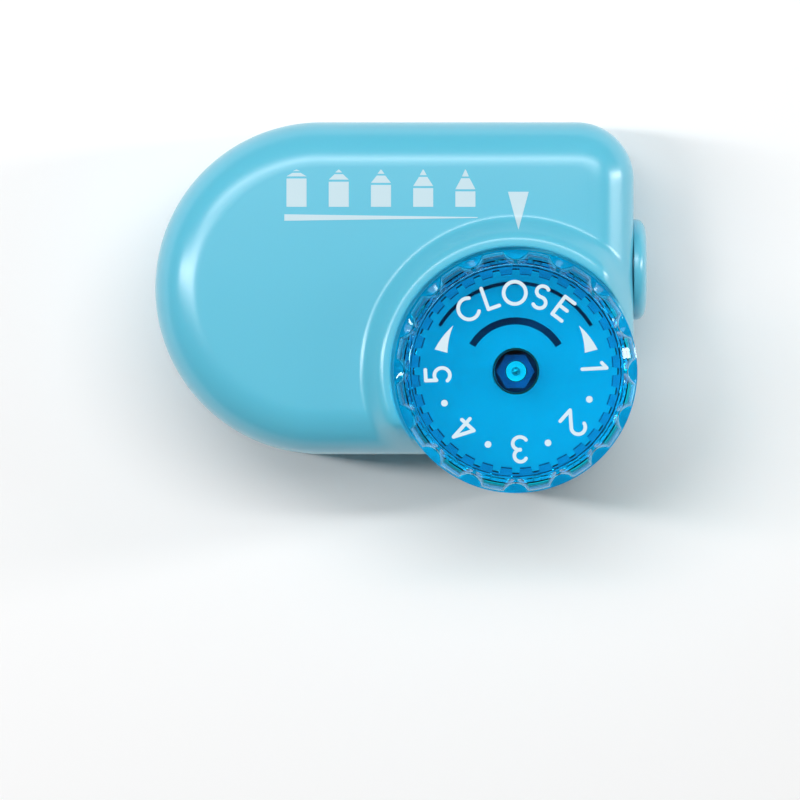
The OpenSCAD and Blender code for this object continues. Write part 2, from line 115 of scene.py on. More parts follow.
@dataclass
class Sheet:
    """A grid of points, rows by columns, that may close on itself either way.

    Attributes:
        points: array of shape (rows, columns, 3), in millimetres.
        wrap_rows: the last row joins the first.
        wrap_cols: the last column joins the first.
    """

    points: Array
    wrap_rows: bool = True
    wrap_cols: bool = False

    def quads(self) -> Array:
        """Number the grid's four-sided faces.

        Returns:
            Rows of four point numbers.
        """
        rows, cols = self.points.shape[:2]
        i = np.arange(rows if self.wrap_rows else rows - 1)[:, None]
        j = np.arange(cols if self.wrap_cols else cols - 1)[None, :]
        up, across = (i + 1) % rows, (j + 1) % cols
        corners = [i * cols + j, up * cols + j, up * cols + across, i * cols + across]
        return np.stack(np.broadcast_arrays(*corners), axis=-1).reshape(-1, 4)


def mesh_of(name: str, sheets: Sequence[Sheet], sharp_deg: float = 32) -> Piece:
    """Join grids into one closed mesh, weld their seams and poles and point faces outwards.

    Args:
        name: the object's name.
        sheets: the grids, each a closed surface once its poles and seams are welded.
        sharp_deg: edges steeper than this are shaded sharp.

    Returns:
        The new object, at the origin, with its place in its mesh.
    """
    counts = np.cumsum([0] + [s.points.shape[0] * s.points.shape[1] for s in sheets])
    points = np.concatenate([s.points.reshape(-1, 3) for s in sheets]) * MM
    faces = np.concatenate([s.quads() + start for s, start in zip(sheets, counts)])
    mesh = bpy.data.meshes.new(name)
    mesh.from_pydata(points.tolist(), [], faces.tolist())
    work = bmesh.new()
    work.from_mesh(mesh)
    bmesh.ops.remove_doubles(work, verts=work.verts, dist=1e-7)
    bmesh.ops.dissolve_degenerate(work, edges=work.edges, dist=1e-8)
    bmesh.ops.recalc_face_normals(work, faces=work.faces)
    work.to_mesh(mesh)
    work.free()
    obj = bpy.data.objects.new(name, mesh)
    bpy.context.scene.collection.objects.link(obj)
    shade(obj, sharp_deg)
    return obj


def shade(obj: Piece, sharp_deg: float) -> None:
    """Shade a mesh smooth, with sharp edges where it folds by more than an angle in degrees."""
    obj.data.shade_smooth()
    obj.data.set_sharp_from_angle(angle=math.radians(sharp_deg))


def finish_piece(
    obj: Piece, body: Body, slot: Slot, material: Material
) -> Piece:
    """Dress a piece and let it ride on its body.

    Args:
        obj: the piece.
        body: the body that it moves with.
        slot: the record's slot for its finish; not used.
        material: its material.

    Returns:
        The same piece.
    """
    obj.data.materials.clear()
    obj.data.materials.append(material)
    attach(obj, body.value)
    LOG.info("%s: %d faces on %s", obj.name, len(obj.data.polygons), body.value)
    return obj


def around(centre: Sequence[float], radii: Array, angle: Array) -> tuple[Array, Array]:
    """X and Y at polar places: the centre plus the radius times the angle's cosine and sine."""
    return centre[0] + radii * np.cos(angle), centre[1] + radii * np.sin(angle)


def revolved(
    profile: Array, centre: tuple[float, float], count: int = 96, closed: bool = False
) -> Sheet:
    """Turn a profile of (radius, height) points about a vertical line.

    The point at angle a and profile step k is centre + radius_k (cos a, sin a), height_k.

    Args:
        profile: array of shape (steps, 2); it starts and ends on the axis unless closed.
        centre: where the axis stands.
        count: how many angles.
        closed: the profile closes on itself, as on a ring.

    Returns:
        The surface.
    """
    angle = np.linspace(0, FULL, count, endpoint=False)[:, None]
    x, y = around(centre, profile[:, 0][None, :], angle)
    return Sheet(np.stack([x, y, np.broadcast_to(profile[:, 1], x.shape)], axis=-1), True, closed)


def laid_along_x(sheet: Sheet, y: float, z: float) -> Sheet:
    """Lay a surface turned about the vertical at the origin along +X through (y, z)."""
    p = sheet.points
    return Sheet(np.stack([p[..., 2], y + p[..., 0], z + p[..., 1]], -1), sheet.wrap_rows, sheet.wrap_cols)


def laid_along_y(sheet: Sheet, x: float, z: float) -> Sheet:
    """Lay a surface turned about the vertical at the origin along +Y through (x, z)."""
    p = sheet.points
    return Sheet(np.stack([x + p[..., 1], p[..., 2], z + p[..., 0]], -1), sheet.wrap_rows, sheet.wrap_cols)


def cylinder(
    radius: float, low: float, high: float, at: tuple[float, float] = (0, 0), count: int = 64
) -> Sheet:
    """A closed upright cylinder, as a profile turned about its axis."""
    return revolved(np.array([[0, low], [radius, low], [radius, high], [0, high]]), at, count)


def arc_points(cx: float, cy: float, r: float, start: float, end: float, count: int) -> Array:
    """Points of an arc about (cx, cy), from one angle to another in degrees."""
    return np.stack(around((cx, cy), r, np.radians(np.linspace(start, end, count))), axis=-1)


def prism(outline: Array, low: float, high: float, place: Place = np.asarray) -> Sheet:
    """Close an upright prism over an outline that can be seen whole from its own middle.

    Its rings are the middle, the outline at the lower height, at the upper one, and the middle.

    Args:
        outline: its corners, of shape (n, 2).
        low: the lower height.
        high: the upper height.
        place: turns rows of points and heights into the frame's points.

    Returns:
        The closed surface.
    """
    middle = outline.mean(axis=0)
    rings = [
        place(np.column_stack([middle + share * (outline - middle), np.full(len(outline), height)]))
        for share, height in ((0, low), (1, low), (1, high), (0, high))
    ]
    return Sheet(np.stack(rings, axis=1))


def capped(rings: Array) -> Sheet:
    """Close a tube of rings by drawing its first and its last ring in to their middles."""
    ends = [np.broadcast_to(rings[k].mean(axis=0), rings[k].shape)[None] for k in (0, -1)]
    return Sheet(np.concatenate([ends[0], rings, ends[1]]), False, True)


def carve(
    obj: Piece, sheets: Sequence[Sheet], add: bool = False, sharp_deg: float = 32
) -> None:
    """Cut closed surfaces out of a mesh, or join them to it, and keep the result as its mesh.

    Args:
        obj: the mesh to change.
        sheets: the closed surfaces.
        add: join them in place of cutting them out.
        sharp_deg: edges steeper than this are shaded sharp.
    """
    tool = mesh_of(f"{obj.name}_tool", sheets)
    cut = obj.modifiers.new("carve", "BOOLEAN")
    cut.operation = "UNION" if add else "DIFFERENCE"
    cut.solver = "MANIFOLD"
    cut.object = tool
    depsgraph = bpy.context.evaluated_depsgraph_get()
    result = bpy.data.meshes.new_from_object(obj.evaluated_get(depsgraph))
    obj.modifiers.clear()
    obj.data = result
    bpy.data.objects.remove(tool)
    shade(obj, sharp_deg)


# ---------------------------------------------------------------- shader helpers


@dataclass
class Wiring:
    """A node tree with short ways to add and join nodes."""

    tree: Tree

    def give(self, node: Node, **inputs: object) -> None:
        """Set or link a node's inputs.

        Args:
            node: the node.
            inputs: values or sockets, by name with underscores for spaces, or by _ and a number.
        """
        for key, value in inputs.items():
            socket = node.inputs[int(key[1:]) if key[0] == "_" else key.replace("_", " ")]
            if isinstance(value, Socket):
                self.tree.links.new(value, socket)
            else:
                socket.default_value = value

    def add(self, kind: str, settings: dict | None = None, **inputs: object) -> Node:
        """Add a node, set its properties, and set or link its inputs.

        Args:
            kind: the node's type name.
            settings: the node's own properties.
            inputs: input values or sockets, named as give() takes them.

        Returns:
            The new node.
        """
        node = self.tree.nodes.new(kind)
        for key, value in (settings or {}).items():
            setattr(node, key, value)
        self.give(node, **inputs)
        return node

    def sum(self, operation: str, a: object, b: object) -> Socket:
        """Add a maths node and give its result."""
        return self.add("ShaderNodeMath", {"operation": operation}, _0=a, _1=b).outputs[0]

    def blend(self, share: object, a: object, b: object) -> Socket:
        """Mix two colours by a share."""
        return self.add("ShaderNodeMix", {"data_type": "RGBA"}, _0=share, _6=a, _7=b).outputs[2]

    def noise(
        self, scale: object, detail: float, stretch: Colour | None = None, turn: float = 0.0
    ) -> Socket:
        """Add noise on the object's own coordinates.

        Args:
            scale: how fine it is, as a value or a socket.
            detail: how many finer layers it has.
            stretch: scale along each axis, for lines.
            turn: turn of the lines about the vertical, in radians.

        Returns:
            The noise, from 0 to 1.
        """
        place = self.add("ShaderNodeTexCoord").outputs["Object"]
        if stretch:
            mapping = self.add("ShaderNodeMapping", Vector=place, Scale=stretch, Rotation=(0, 0, turn))
            place = mapping.outputs[0]
        return self.add("ShaderNodeTexNoise", Vector=place, Scale=scale, Detail=detail).outputs["Fac"]


@dataclass(frozen=True)
class Moulding:
    """How the group of a moulded surface is set for one finish."""

    grain_scale: float = 2500.0
    grain: float = 0.15
    mottle_scale: float = 60.0
    roughness: float = 0.25
    spread: float = 0.06
    scuffs: float = 0.2
    bump_mm: float = 0.004

    def inputs(self) -> dict[str, float]:
        """Give the group's input values by name."""
        return {"Grain_Scale": self.grain_scale, "Grain": self.grain, "Mottle_Scale": self.mottle_scale,
                "Roughness": self.roughness, "Spread": self.spread, "Scuffs": self.scuffs}


def moulded_group() -> Tree:
    """Build the shared effect of a moulded surface: tooling grain, mottle and fine scuffs.

    Returns:
        The group. Its outputs are a height for a bump, a roughness and a mask of scuffs.
    """
    group = bpy.data.node_groups.new("moulded_surface", "ShaderNodeTree")
    number = {"socket_type": "NodeSocketFloat"}
    for label, value in Moulding().inputs().items():
        socket = group.interface.new_socket(label.replace("_", " "), in_out="INPUT", **number)
        socket.default_value = value
    for label in ("Height", "Roughness", "Scuff"):
        group.interface.new_socket(label, in_out="OUTPUT", **number)
    w = Wiring(group)
    given = w.add("NodeGroupInput").outputs
    mottle = w.noise(given["Mottle Scale"], 4.0)
    lines = w.noise(1.0, 2.0, (900, 60, 300), 0.6)
    sharp = w.add("ShaderNodeMapRange", Value=lines, From_Min=0.68, From_Max=0.74).outputs[0]
    patch = w.add("ShaderNodeMapRange", Value=mottle, From_Min=0.5, From_Max=0.62).outputs[0]
    scuff = w.sum("MULTIPLY", w.sum("MULTIPLY", sharp, patch), given["Scuffs"])
    grain = w.sum("MULTIPLY", w.noise(given["Grain Scale"], 3.0), given["Grain"])
    swing = w.sum("MULTIPLY", w.sum("SUBTRACT", mottle, 0.5), given["Spread"])
    rough = w.sum("ADD", w.sum("ADD", swing, given["Roughness"]), w.sum("MULTIPLY", scuff, 0.5))
    w.add("NodeGroupOutput", Height=w.sum("SUBTRACT", grain, scuff), Roughness=rough, Scuff=scuff)
    return group


def new_material(name: str) -> tuple[Material, Wiring, Node, Node]:
    """Start an empty node material.

    Args:
        name: the material's name.

    Returns:
        The material, its wiring, its Principled shader and its output node.
    """
    material = bpy.data.materials.new(name)
    material.use_nodes = True
    material.node_tree.nodes.clear()
    w = Wiring(material.node_tree)
    shader = w.add("ShaderNodeBsdfPrincipled")
    return material, w, shader, w.add("ShaderNodeOutputMaterial", Surface=shader.outputs[0])


def apply_moulding(
    w: Wiring, shader: Node, group: Tree, m: Moulding
) -> Socket:
    """Wire the moulded surface into a shader's roughness and normal.

    Args:
        w: the material's wiring.
        shader: its Principled node.
        group: the shared group.
        m: the values for this finish.

    Returns:
        The scuff mask, for the colour.
    """
    node = w.add("ShaderNodeGroup", {"node_tree": group}, **m.inputs())
    bump = w.add("ShaderNodeBump", Height=node.outputs["Height"], Strength=1.0, Distance=m.bump_mm * MM)
    w.give(shader, Normal=bump.outputs[0], Roughness=node.outputs["Roughness"])
    return node.outputs["Scuff"]


@dataclass(frozen=True)
class Plastic:
    """An opaque moulded plastic: slightly uneven colour, paler scuffs, moulded grain."""

    name: str
    colour: Colour
    deep: Colour
    moulding: Moulding = Moulding()
    ior: float = 1.5
    subsurface: float = 0.0
    coat: float = 0.0
    coat_roughness: float = 0.22
    cloud_scale: float = 35.0

    def material(self, group: Tree) -> Material:
        """Build the material.

        Args:
            group: the shared moulded surface.

        Returns:
            The material.
        """
        material, w, shader, _ = new_material(self.name)
        scuff = apply_moulding(w, shader, group, self.moulding)
        tone = w.blend(w.noise(self.cloud_scale, 3.0), (*self.colour, 1), (*self.deep, 1))
        worn = (*(min(1.0, c * 1.25 + 0.05) for c in self.colour), 1)
        w.give(
            shader, Base_Color=w.blend(scuff, tone, worn), IOR=self.ior, Coat_Weight=self.coat,
            Coat_Roughness=self.coat_roughness, Subsurface_Weight=self.subsurface,
            Subsurface_Scale=1.0 * MM,
        )
        return material


@dataclass(frozen=True)
class ClearPlastic:
    """A see-through tinted plastic. Light from lamps passes it, tinted, to what lies behind."""

    name: str
    tint: Colour
    shadow: Colour
    moulding: Moulding = Moulding()
    ior: float = 1.46

    def material(self, group: Tree) -> Material:
        """Build the material.

        Args:
            group: the shared moulded surface.

        Returns:
            The material.
        """
        material, w, shader, out = new_material(self.name)
        apply_moulding(w, shader, group, self.moulding)
        w.give(shader, Base_Color=(*self.tint, 1), Transmission_Weight=1.0, IOR=self.ior)
        lamp = w.add("ShaderNodeBsdfTransparent", Color=(*self.shadow, 1))
        shaded = w.add("ShaderNodeLightPath").outputs["Is Shadow Ray"]
        mix = w.add("ShaderNodeMixShader", _0=shaded, _1=shader.outputs[0], _2=lamp.outputs[0])
        w.give(out, Surface=mix.outputs[0])
        return material


@dataclass(frozen=True)
class Metal:
    """Steel: a bright metal with fine grinding lines along one axis and small stains."""

    name: str
    colour: Colour
    roughness: float
    lines: tuple[float, float, float]

    def material(self, group: Tree) -> Material:
        """Build the material.

        Args:
            group: the shared moulded surface, used here for its stains.

        Returns:
            The material.
        """
        material, w, shader, _ = new_material(self.name)
        noise = w.noise(1.0, 3.0, self.lines)
        stain = w.add("ShaderNodeGroup", {"node_tree": group}).outputs["Roughness"]
        rough = w.sum("ADD", w.sum("MULTIPLY", noise, stain), self.roughness - 0.1)
        bump = w.add("ShaderNodeBump", Height=noise, Strength=0.6, Distance=0.003 * MM)
        w.give(shader, Roughness=rough, Normal=bump.outputs[0], Base_Color=(*self.colour, 1), Metallic=1.0)
        return material


@dataclass
class Finishes:
    """Every finish on the sharpener, built once and shared by its pieces."""

    casing: Plastic = Plastic(
        "sky_blue_styrene", linear(98, 196, 222), linear(90, 190, 217),
        Moulding(1800, 0.10, 45, 0.29, 0.05, 0.10, 0.003), subsurface=0.05, coat=0.5,
    )
    dial: ClearPlastic = ClearPlastic(
        "clear_blue_acrylic", (0.0, 0.70, 0.89), (0.03, 0.72, 0.75),
        Moulding(900, 0.05, 40, 0.03, 0.02, 0.02, 0.001),
    )
    # Near-white matte floor of the hub's bore: a painted highlight, standing in for the glint off the screw's
    # end.
    frosted: Plastic = Plastic(
        "frosted_blue_acrylic", linear(225, 248, 255), linear(215, 244, 252),
        Moulding(3000, 0.6, 80, 0.5, 0.1, 0.1),
    )
    deep: Plastic = Plastic(
        "thick_blue_acrylic", linear(0, 150, 220), linear(0, 142, 210),
        Moulding(1500, 0.1, 80, 0.1, 0.05, 0.0),
    )
    cam: Plastic = Plastic(
        "blue_acetal", linear(20, 120, 190), linear(16, 110, 178), Moulding(1500, 0.3, 80, 0.42, 0.1, 0.3)
    )
    guide: Plastic = Plastic(
        "white_acetal", linear(226, 232, 234), linear(216, 222, 226), Moulding(1500, 0.3, 80, 0.4, 0.1, 0.2)
    )
    carrier: Plastic = Plastic(
        "filled_nylon", linear(58, 62, 68), linear(48, 52, 58), Moulding(3000, 0.8, 120, 0.5, 0.12, 0.4, 0.01)
    )
    ink: Plastic = Plastic(
        "white_print", linear(214, 234, 242), linear(206, 228, 238), Moulding(5000, 0.5, 200, 0.45, 0.1, 0.1)
    )
    pale_ink: Plastic = Plastic(
        "pale_print", linear(200, 224, 232), linear(192, 218, 228), Moulding(5000, 0.5, 200, 0.45, 0.1, 0.1)
    )
    blade: Metal = Metal("ground_steel", (0.72, 0.73, 0.76), 0.24, (200, 200, 9000))
    steel: Metal = Metal("zinc_plated_steel", (0.62, 0.63, 0.65), 0.32, (800, 800, 800))
    made: dict[str, Material] = field(default_factory=dict)

    def __post_init__(self) -> None:
        """Build the shared group and every material."""
        group = moulded_group()
        for entry in fields(self):
            if entry.name != "made":
                self.made[entry.name] = getattr(self, entry.name).material(group)

    def __getitem__(self, label: str) -> Material:
        """Give a finish's material by its label."""
        return self.made[label]


# ---------------------------------------------------------------- the casing's form


@dataclass
class CasingForm:
    """The casing's shape as seen from the front, and the heights of its two rounded faces.

    The outline is a half round of radius end_r on the left, straight above and below, straight
    on the inlet side, with a rounded upper corner, joined to a round housing under the dial.
    """

    box: tuple[Array, Array]
    end_r: float = 23.3
    corner_r: float = 8.0
    housing_r: float = 16.6
    dial_r: float = 17.0
    inlet_out: float = 1.85
    front: float = 23.6
    floor: float = 23.2
    edge_r: float = 6.5
    back_r: float = 4.5
    wall: float = 1.6
    recess_r: float = 17.35
    collar_h: float = 2.7
    crest_r: float = 18.35
    foot_r: float = 21.9
    lip_r: float = 0.45
    fade_w: float = 4.6

    def __post_init__(self) -> None:
        """Place the outline's centres from the frame's box."""
        low, high = self.box
        self.left, self.right = low[0], high[0] - self.inlet_out
        self.top, self.bottom = high[1], high[1] - 2 * self.end_r
        self.end = np.array([self.left + self.end_r, self.top - self.end_r])
        self.corner = np.array([self.right - self.corner_r, self.top - self.corner_r])
        self.dial = np.array([self.right - self.housing_r - 0.05, low[1] + self.dial_r])
        self.split = self.front / 2

    def ray(self, angle: Array, inset: float) -> Array:
        """Measure from the dial's centre to the D-shaped outline drawn in by an inset.

        Along each direction the nearest of the upper, lower and inlet-side lines is met, and where
        that point lies past the round end's centre or in the corner the circle is met instead.

        Args:
            angle: directions, in radians.
            inset: how far the outline is drawn in.

        Returns:
            The distances, or zero towards the lower right, where only the housing is.
        """
        ux, uy = np.cos(angle), np.sin(angle)
        with np.errstate(divide="ignore"):
            up = np.where(uy > TINY, (self.top - inset - self.dial[1]) / uy, np.inf)
            down = np.where(uy < -TINY, (self.bottom + inset - self.dial[1]) / uy, np.inf)
            side = np.where(ux > TINY, (self.right - inset - self.dial[0]) / ux, np.inf)
        reach = np.minimum(np.minimum(up, down), side)
        x, y = around(self.dial, reach, angle)

        def round_reach(centre: Array, radius: float) -> Array:
            """Measure to the far side of a circle, as the larger root of its equation.

            Args:
                centre: the circle's centre.
                radius: its radius.

            Returns:
                The distances along the directions.
            """
            mx, my = self.dial - centre
            along = mx * ux + my * uy
            return -along + np.sqrt(np.maximum(along**2 - mx**2 - my**2 + radius**2, 0))

        reach = np.where(x < self.end[0], round_reach(self.end, self.end_r - inset), reach)
        in_corner = (x > self.corner[0]) & (y > self.corner[1])
        reach = np.where(in_corner, round_reach(self.corner, self.corner_r - inset), reach)
        turn = np.mod(angle, FULL)
        return np.where(turn >= math.radians(269.9), 0.0, reach)

    def depth(self, x: Array, y: Array) -> Array:
        """Measure how far inside the D-shaped outline a point lies.

        That is the least distance to the straight sides, or to the circle of the round end or of
        the corner where the point is in their part.

        Args:
            x: places in X.
            y: places in Y.

        Returns:
            The distances, less than zero outside.
        """
        flat = np.minimum(np.minimum(self.top - y, y - self.bottom), self.right - x)
        end = self.end_r - np.hypot(x - self.end[0], y - self.end[1])
        corner = self.corner_r - np.hypot(x - self.corner[0], y - self.corner[1])
        flat = np.where(x < self.end[0], end, flat)
        return np.where((x > self.corner[0]) & (y > self.corner[1]), corner, flat)

    def crown(self, depth: Array, rise: float, radius: float) -> Array:
        """Height of a quarter-round edge above its foot, at a depth inside the outline."""
        off = np.clip(radius - depth, 0, radius)
        return rise - radius + np.sqrt(np.maximum(radius**2 - off**2, 0))

    def hollow(self, depth: Array, level: float, radius: float) -> Array:
        """Height of a quarter-round edge turned over, which falls to a level as the depth grows."""
        off = np.clip(radius - depth, 0, radius)
        return level + radius - np.sqrt(np.maximum(radius**2 - off**2, 0))

    def front_height(self, r: Array, angle: Array) -> Array:
        """Height of the front, with the collar round the dial.

        The quarter-round edge rises to the flat face. The collar adds a flat ring that falls away
        in a cosine to its foot, and fades out over the last few millimetres to the outline.

        Args:
            r: distance from the dial's centre.
            angle: direction from it.

        Returns:
            The heights.
        """
        x, y = around(self.dial, r, angle)
        depth = self.depth(x, y)
        share = np.clip((r - self.crest_r) / (self.foot_r - self.crest_r), 0, 1)
        swell = self.collar_h * 0.5 * (1 + np.cos(np.pi * share))
        fade = np.clip(depth / self.fade_w, 0, 1)
        fade = fade * fade * (3 - 2 * fade)
        lip = np.clip((self.recess_r + self.lip_r - r) / self.lip_r, 0, 1)
        roll = self.lip_r * (1 - np.sqrt(np.maximum(1 - lip**2, 0)))
        return self.crown(depth, self.front, self.edge_r) + swell * fade - roll * fade


@dataclass
class Casing:
    """Both halves of the casing, with the door's seat in the back half."""

    form: CasingForm
    finishes: Finishes
    angles: int = 720
    inlet_y: float = 5.4
    inlet_r: float = 6.0
    hub_r: float = 3.0
    hub_boss_r: float = 4.6
    hub_boss_drop: float = 4.0
    slot_span: float = 59.0
    seam: float = 0.16
    hub_bevel: float = 0.3
    slots: tuple[tuple[float, float], ...] = ((7.05, 1.0), (12.35, 0.5))

    def directions(self) -> Array:
        """Angles of the grid's rows, half a step off the axes."""
        step = FULL / self.angles
        return (np.arange(self.angles) + 0.5) * step

    def lay(self, radii: Array, heights: Array, angle: Array) -> Array:
        """Place polar samples about the dial, one row for each angle, as points."""
        return np.stack([*around(self.form.dial, radii, angle[:, None]), heights], axis=-1)

    def parting_lip(self, reach: Array, side: int) -> tuple[Array, Array]:
        """Draw the wall in by the seam's depth at the parting line.

        Args:
            reach: the wall's radius along each direction.
            side: one for the front half, minus one for the back.

        Returns:
            Radii and heights of three columns.
        """
        radii = np.stack([reach - 0.05, reach - self.seam, reach - self.seam], axis=1)
        return radii, np.broadcast_to(self.form.split + side * np.array([0.05, 0.03, 0]), radii.shape)

    def inlet_cutter(self) -> Sheet:
        """The way through the wall for the inlet boss's neck."""
        bore = cylinder(self.inlet_r, self.form.right - 4, self.form.right + 2)
        return laid_along_x(bore, self.inlet_y, self.form.split)

    def front_outer(self, angle: Array) -> tuple[Array, Array]:
        """Radii and heights of the front's outer skin, from the hub bore to the parting line.

        Each direction's samples are where the edge rounding's insets cut it and where the collar
        curves, sorted outwards. Inside the recess the floor is flat, and outside the housing a
        sample under the floor's height follows the rounded edge down.

        Args:
            angle: directions, in radians.

        Returns:
            Two arrays of one row per direction.
        """
        f = self.form
        n = len(angle)
        outline = f.ray(angle, 0)
        phi = np.radians(np.linspace(90, 0, 22))
        rings = np.stack([f.ray(angle, f.edge_r * (1 - math.cos(p))) for p in phi], axis=1)
        lip = f.recess_r + f.lip_r * (1 - np.cos(np.linspace(0, np.pi / 2, 6)))
        slope = np.linspace(f.crest_r - 0.3, f.foot_r + 0.3, 22)
        fixed = np.broadcast_to(np.concatenate([lip, slope]), (n, len(lip) + len(slope)))
        reach = np.maximum(outline, f.housing_r)
        start = np.minimum(f.recess_r, reach)[:, None]
        radii = np.sort(np.clip(np.hstack([rings, fixed]), start, reach[:, None]), axis=1)
        solid = (outline > f.housing_r + 0.02)[:, None]
        heights = np.where(solid, f.front_height(radii, angle[:, None]), f.floor)
        heights = np.where(radii <= start + TINY, np.maximum(heights, f.split), heights)

        housing = np.full(n, f.housing_r)
        step_r = np.stack([housing, housing, start[:, 0]], axis=1)
        step_h = np.where(solid, f.front_height(step_r, angle[:, None]), f.floor)
        step_h = np.minimum(step_h, f.floor)
        step_h[:, 0] = f.floor

        bevel = self.hub_bevel
        floor_r = np.array([self.hub_r, self.hub_r + bevel, 5, 6.5, 8, 10, 12, 13, 14.5, 16])
        floor_r = np.broadcast_to(floor_r, (n, len(floor_r)))
        floor_h = np.full(floor_r.shape, f.floor)
        floor_h[:, 0] -= bevel

        foot = heights[:, -1]
        drop = np.linspace(1, 0, 10)[None, 1:]
        wall_h = f.split + self.seam + (foot[:, None] - f.split - self.seam) * drop
        wall_r = np.broadcast_to(reach[:, None], wall_h.shape)
        lip_r, lip_h = self.parting_lip(reach, 1)
        return (
            np.hstack([floor_r, step_r, radii, wall_r, lip_r]),
            np.hstack([floor_h, step_h, heights, wall_h, lip_h]),
        )

    def inner(
        self, angle: Array, level: float, radius: float, crown: Place
    ) -> tuple[Array, Array]:
        """Radii and heights of a shell's inner skin, from the parting line to the hub.

        Args:
            angle: directions, in radians.
            level: height of the flat inner face.
            radius: rounding of the inner edge.
            crown: turns a depth inside the inner outline into a height.

        Returns:
            Two arrays of one row per direction.
        """
        f = self.form
        n = len(angle)
        outline = f.ray(angle, f.wall)
        housing = f.housing_r - f.wall
        phi = np.radians(np.linspace(0, 90, 12))
        rings = np.stack([f.ray(angle, f.wall + radius * (1 - math.cos(p))) for p in phi], axis=1)
        reach = np.maximum(outline, housing)
        radii = -np.sort(-np.clip(rings, housing, reach[:, None]), axis=1)
        x, y = around(f.dial, radii, angle[:, None])
        solid = (outline > housing + 0.02)[:, None]
        heights = np.where(solid, crown(f.depth(x, y) - f.wall), level)
        rim_r = np.stack([reach, reach], axis=1)
        rim_h = np.stack([np.full(n, f.split), (f.split + heights[:, 0]) / 2], axis=1)
        return (
            np.hstack([rim_r, radii, np.full((n, 1), housing)]),
            np.hstack([rim_h, heights, np.full((n, 1), level)]),
        )

    def build_front(self) -> Piece:
        """Build the front half: one closed surface over outer skin, rim, inner skin and hub bore.

        Returns:
            The finished piece.
        """
        f = self.form
        angle = self.directions()
        n = len(angle)
        outer_r, outer_h = self.front_outer(angle)
        ceiling = f.front - f.wall
        inner_r, inner_h = self.inner(
            angle, ceiling, f.edge_r - f.wall, lambda d: f.crown(d, ceiling, f.edge_r - f.wall)
        )
        hub_r = np.broadcast_to(np.array([10, self.hub_boss_r, self.hub_boss_r, self.hub_r]), (n, 4))
        low = f.floor - self.hub_boss_drop
        hub_h = np.broadcast_to(np.array([ceiling, ceiling, low, low]), (n, 4))
        points = self.lay(np.hstack([outer_r, inner_r, hub_r]), np.hstack([outer_h, inner_h, hub_h]), angle)
        shell = mesh_of("front_casing", [Sheet(points, True, True)], SHELL_FOLD)
        cutters = [self.inlet_cutter(), *(self.slot_cutter(*slot) for slot in self.slots)]
        carve(shell, cutters, sharp_deg=SHELL_FOLD)
        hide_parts("front_shell")
        return finish_piece(shell, Body.CASING, Slot.CASING, self.finishes["casing"])

    def slot_cutter(self, radius: float, width: float) -> Sheet:
        """Carry a rectangle along an arc, as a curved bar through the recess floor.

        Args:
            radius: radius of the arc about the dial's axis.
            width: width of the slot.

        Returns:
            The closed bar.
        """
        turn = np.radians(np.linspace(90 - self.slot_span, 90 + self.slot_span, 60))
        radii = radius + width * np.array([-0.5, 0.5, 0.5, -0.5])
        x, y = around(self.form.dial, radii[None, :], turn[:, None])
        heights = self.form.floor + np.array([-2.5, -2.5, 1, 1])
        return capped(np.stack([x, y, np.broadcast_to(heights, x.shape)], axis=-1))

    def build_back(self) -> Piece:
        """Build the back half: outer and inner faces, the door's seat, bosses and screw wells.

        Returns:
            The finished piece.
        """
        f = self.form
        angle = self.directions()
        n = len(angle)
        outline = f.ray(angle, 0)
        phi = np.radians(np.linspace(90, 0, 18))
        insets = f.back_r * (1 - np.cos(phi))
        rings = np.stack([f.ray(angle, float(d)) for d in insets], axis=1)
        round_rings = np.broadcast_to(f.housing_r - insets, (n, len(insets)))
        rings = np.where(outline[:, None] > 0, rings, round_rings)
        reach = np.maximum(outline, f.housing_r)
        radii = np.sort(np.clip(np.hstack([rings, round_rings]), 0.5, reach[:, None]), axis=1)
        x, y = around(f.dial, radii, angle[:, None])
        d_end = np.where(outline[:, None] > 0, f.depth(x, y), -1)
        d_end = np.where(radii <= outline[:, None] + TINY, d_end, -1)
        depth = np.maximum(d_end, f.housing_r - radii)
        heights = f.hollow(depth, 0, f.back_r)
        wall_h = f.back_r + (f.split - self.seam - f.back_r) * np.linspace(0, 1, 9)[None, 1:]
        wall_h = np.broadcast_to(wall_h, (n, 8))
        wall_r = np.broadcast_to(reach[:, None], wall_h.shape)
        lip_r, lip_h = self.parting_lip(reach, -1)
        level, edge = f.wall, f.back_r - f.wall
        inner_r, inner_h = self.inner(angle, level, edge, lambda d: f.hollow(d, level, edge))
        pole_r, pole_h = np.zeros((n, 1)), np.zeros((n, 1))
        points = self.lay(
            np.hstack([pole_r, radii, wall_r, lip_r, inner_r, pole_r]),
            np.hstack([pole_h, heights, wall_h, lip_h, inner_h, pole_h + level]),
            angle,
        )
        shell = mesh_of("back_casing", [Sheet(points)], SHELL_FOLD)
        Door(f).fit_into(shell)
        carve(shell, [self.inlet_cutter()])
        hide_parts("rear_shell")
        return finish_piece(shell, Body.CASING, Slot.CASING, self.finishes["casing"])


@dataclass(frozen=True)
class Post:
    """A kind of round post on the back wall, with a bore down it, and the places where it stands."""

    places: tuple[tuple[float, float], ...]
    radius: float
    top: float
    bore_r: float
    bore_low: float
    bore_top: float

    def solid(self, root: float) -> list[Sheet]:
        """The posts, from a root inside the wall."""
        return [cylinder(self.radius, root, self.top, at) for at in self.places]

    def bores(self) -> list[Sheet]:
        """The bores down the posts."""
        return [cylinder(self.bore_r, self.bore_low, self.bore_top, at) for at in self.places]


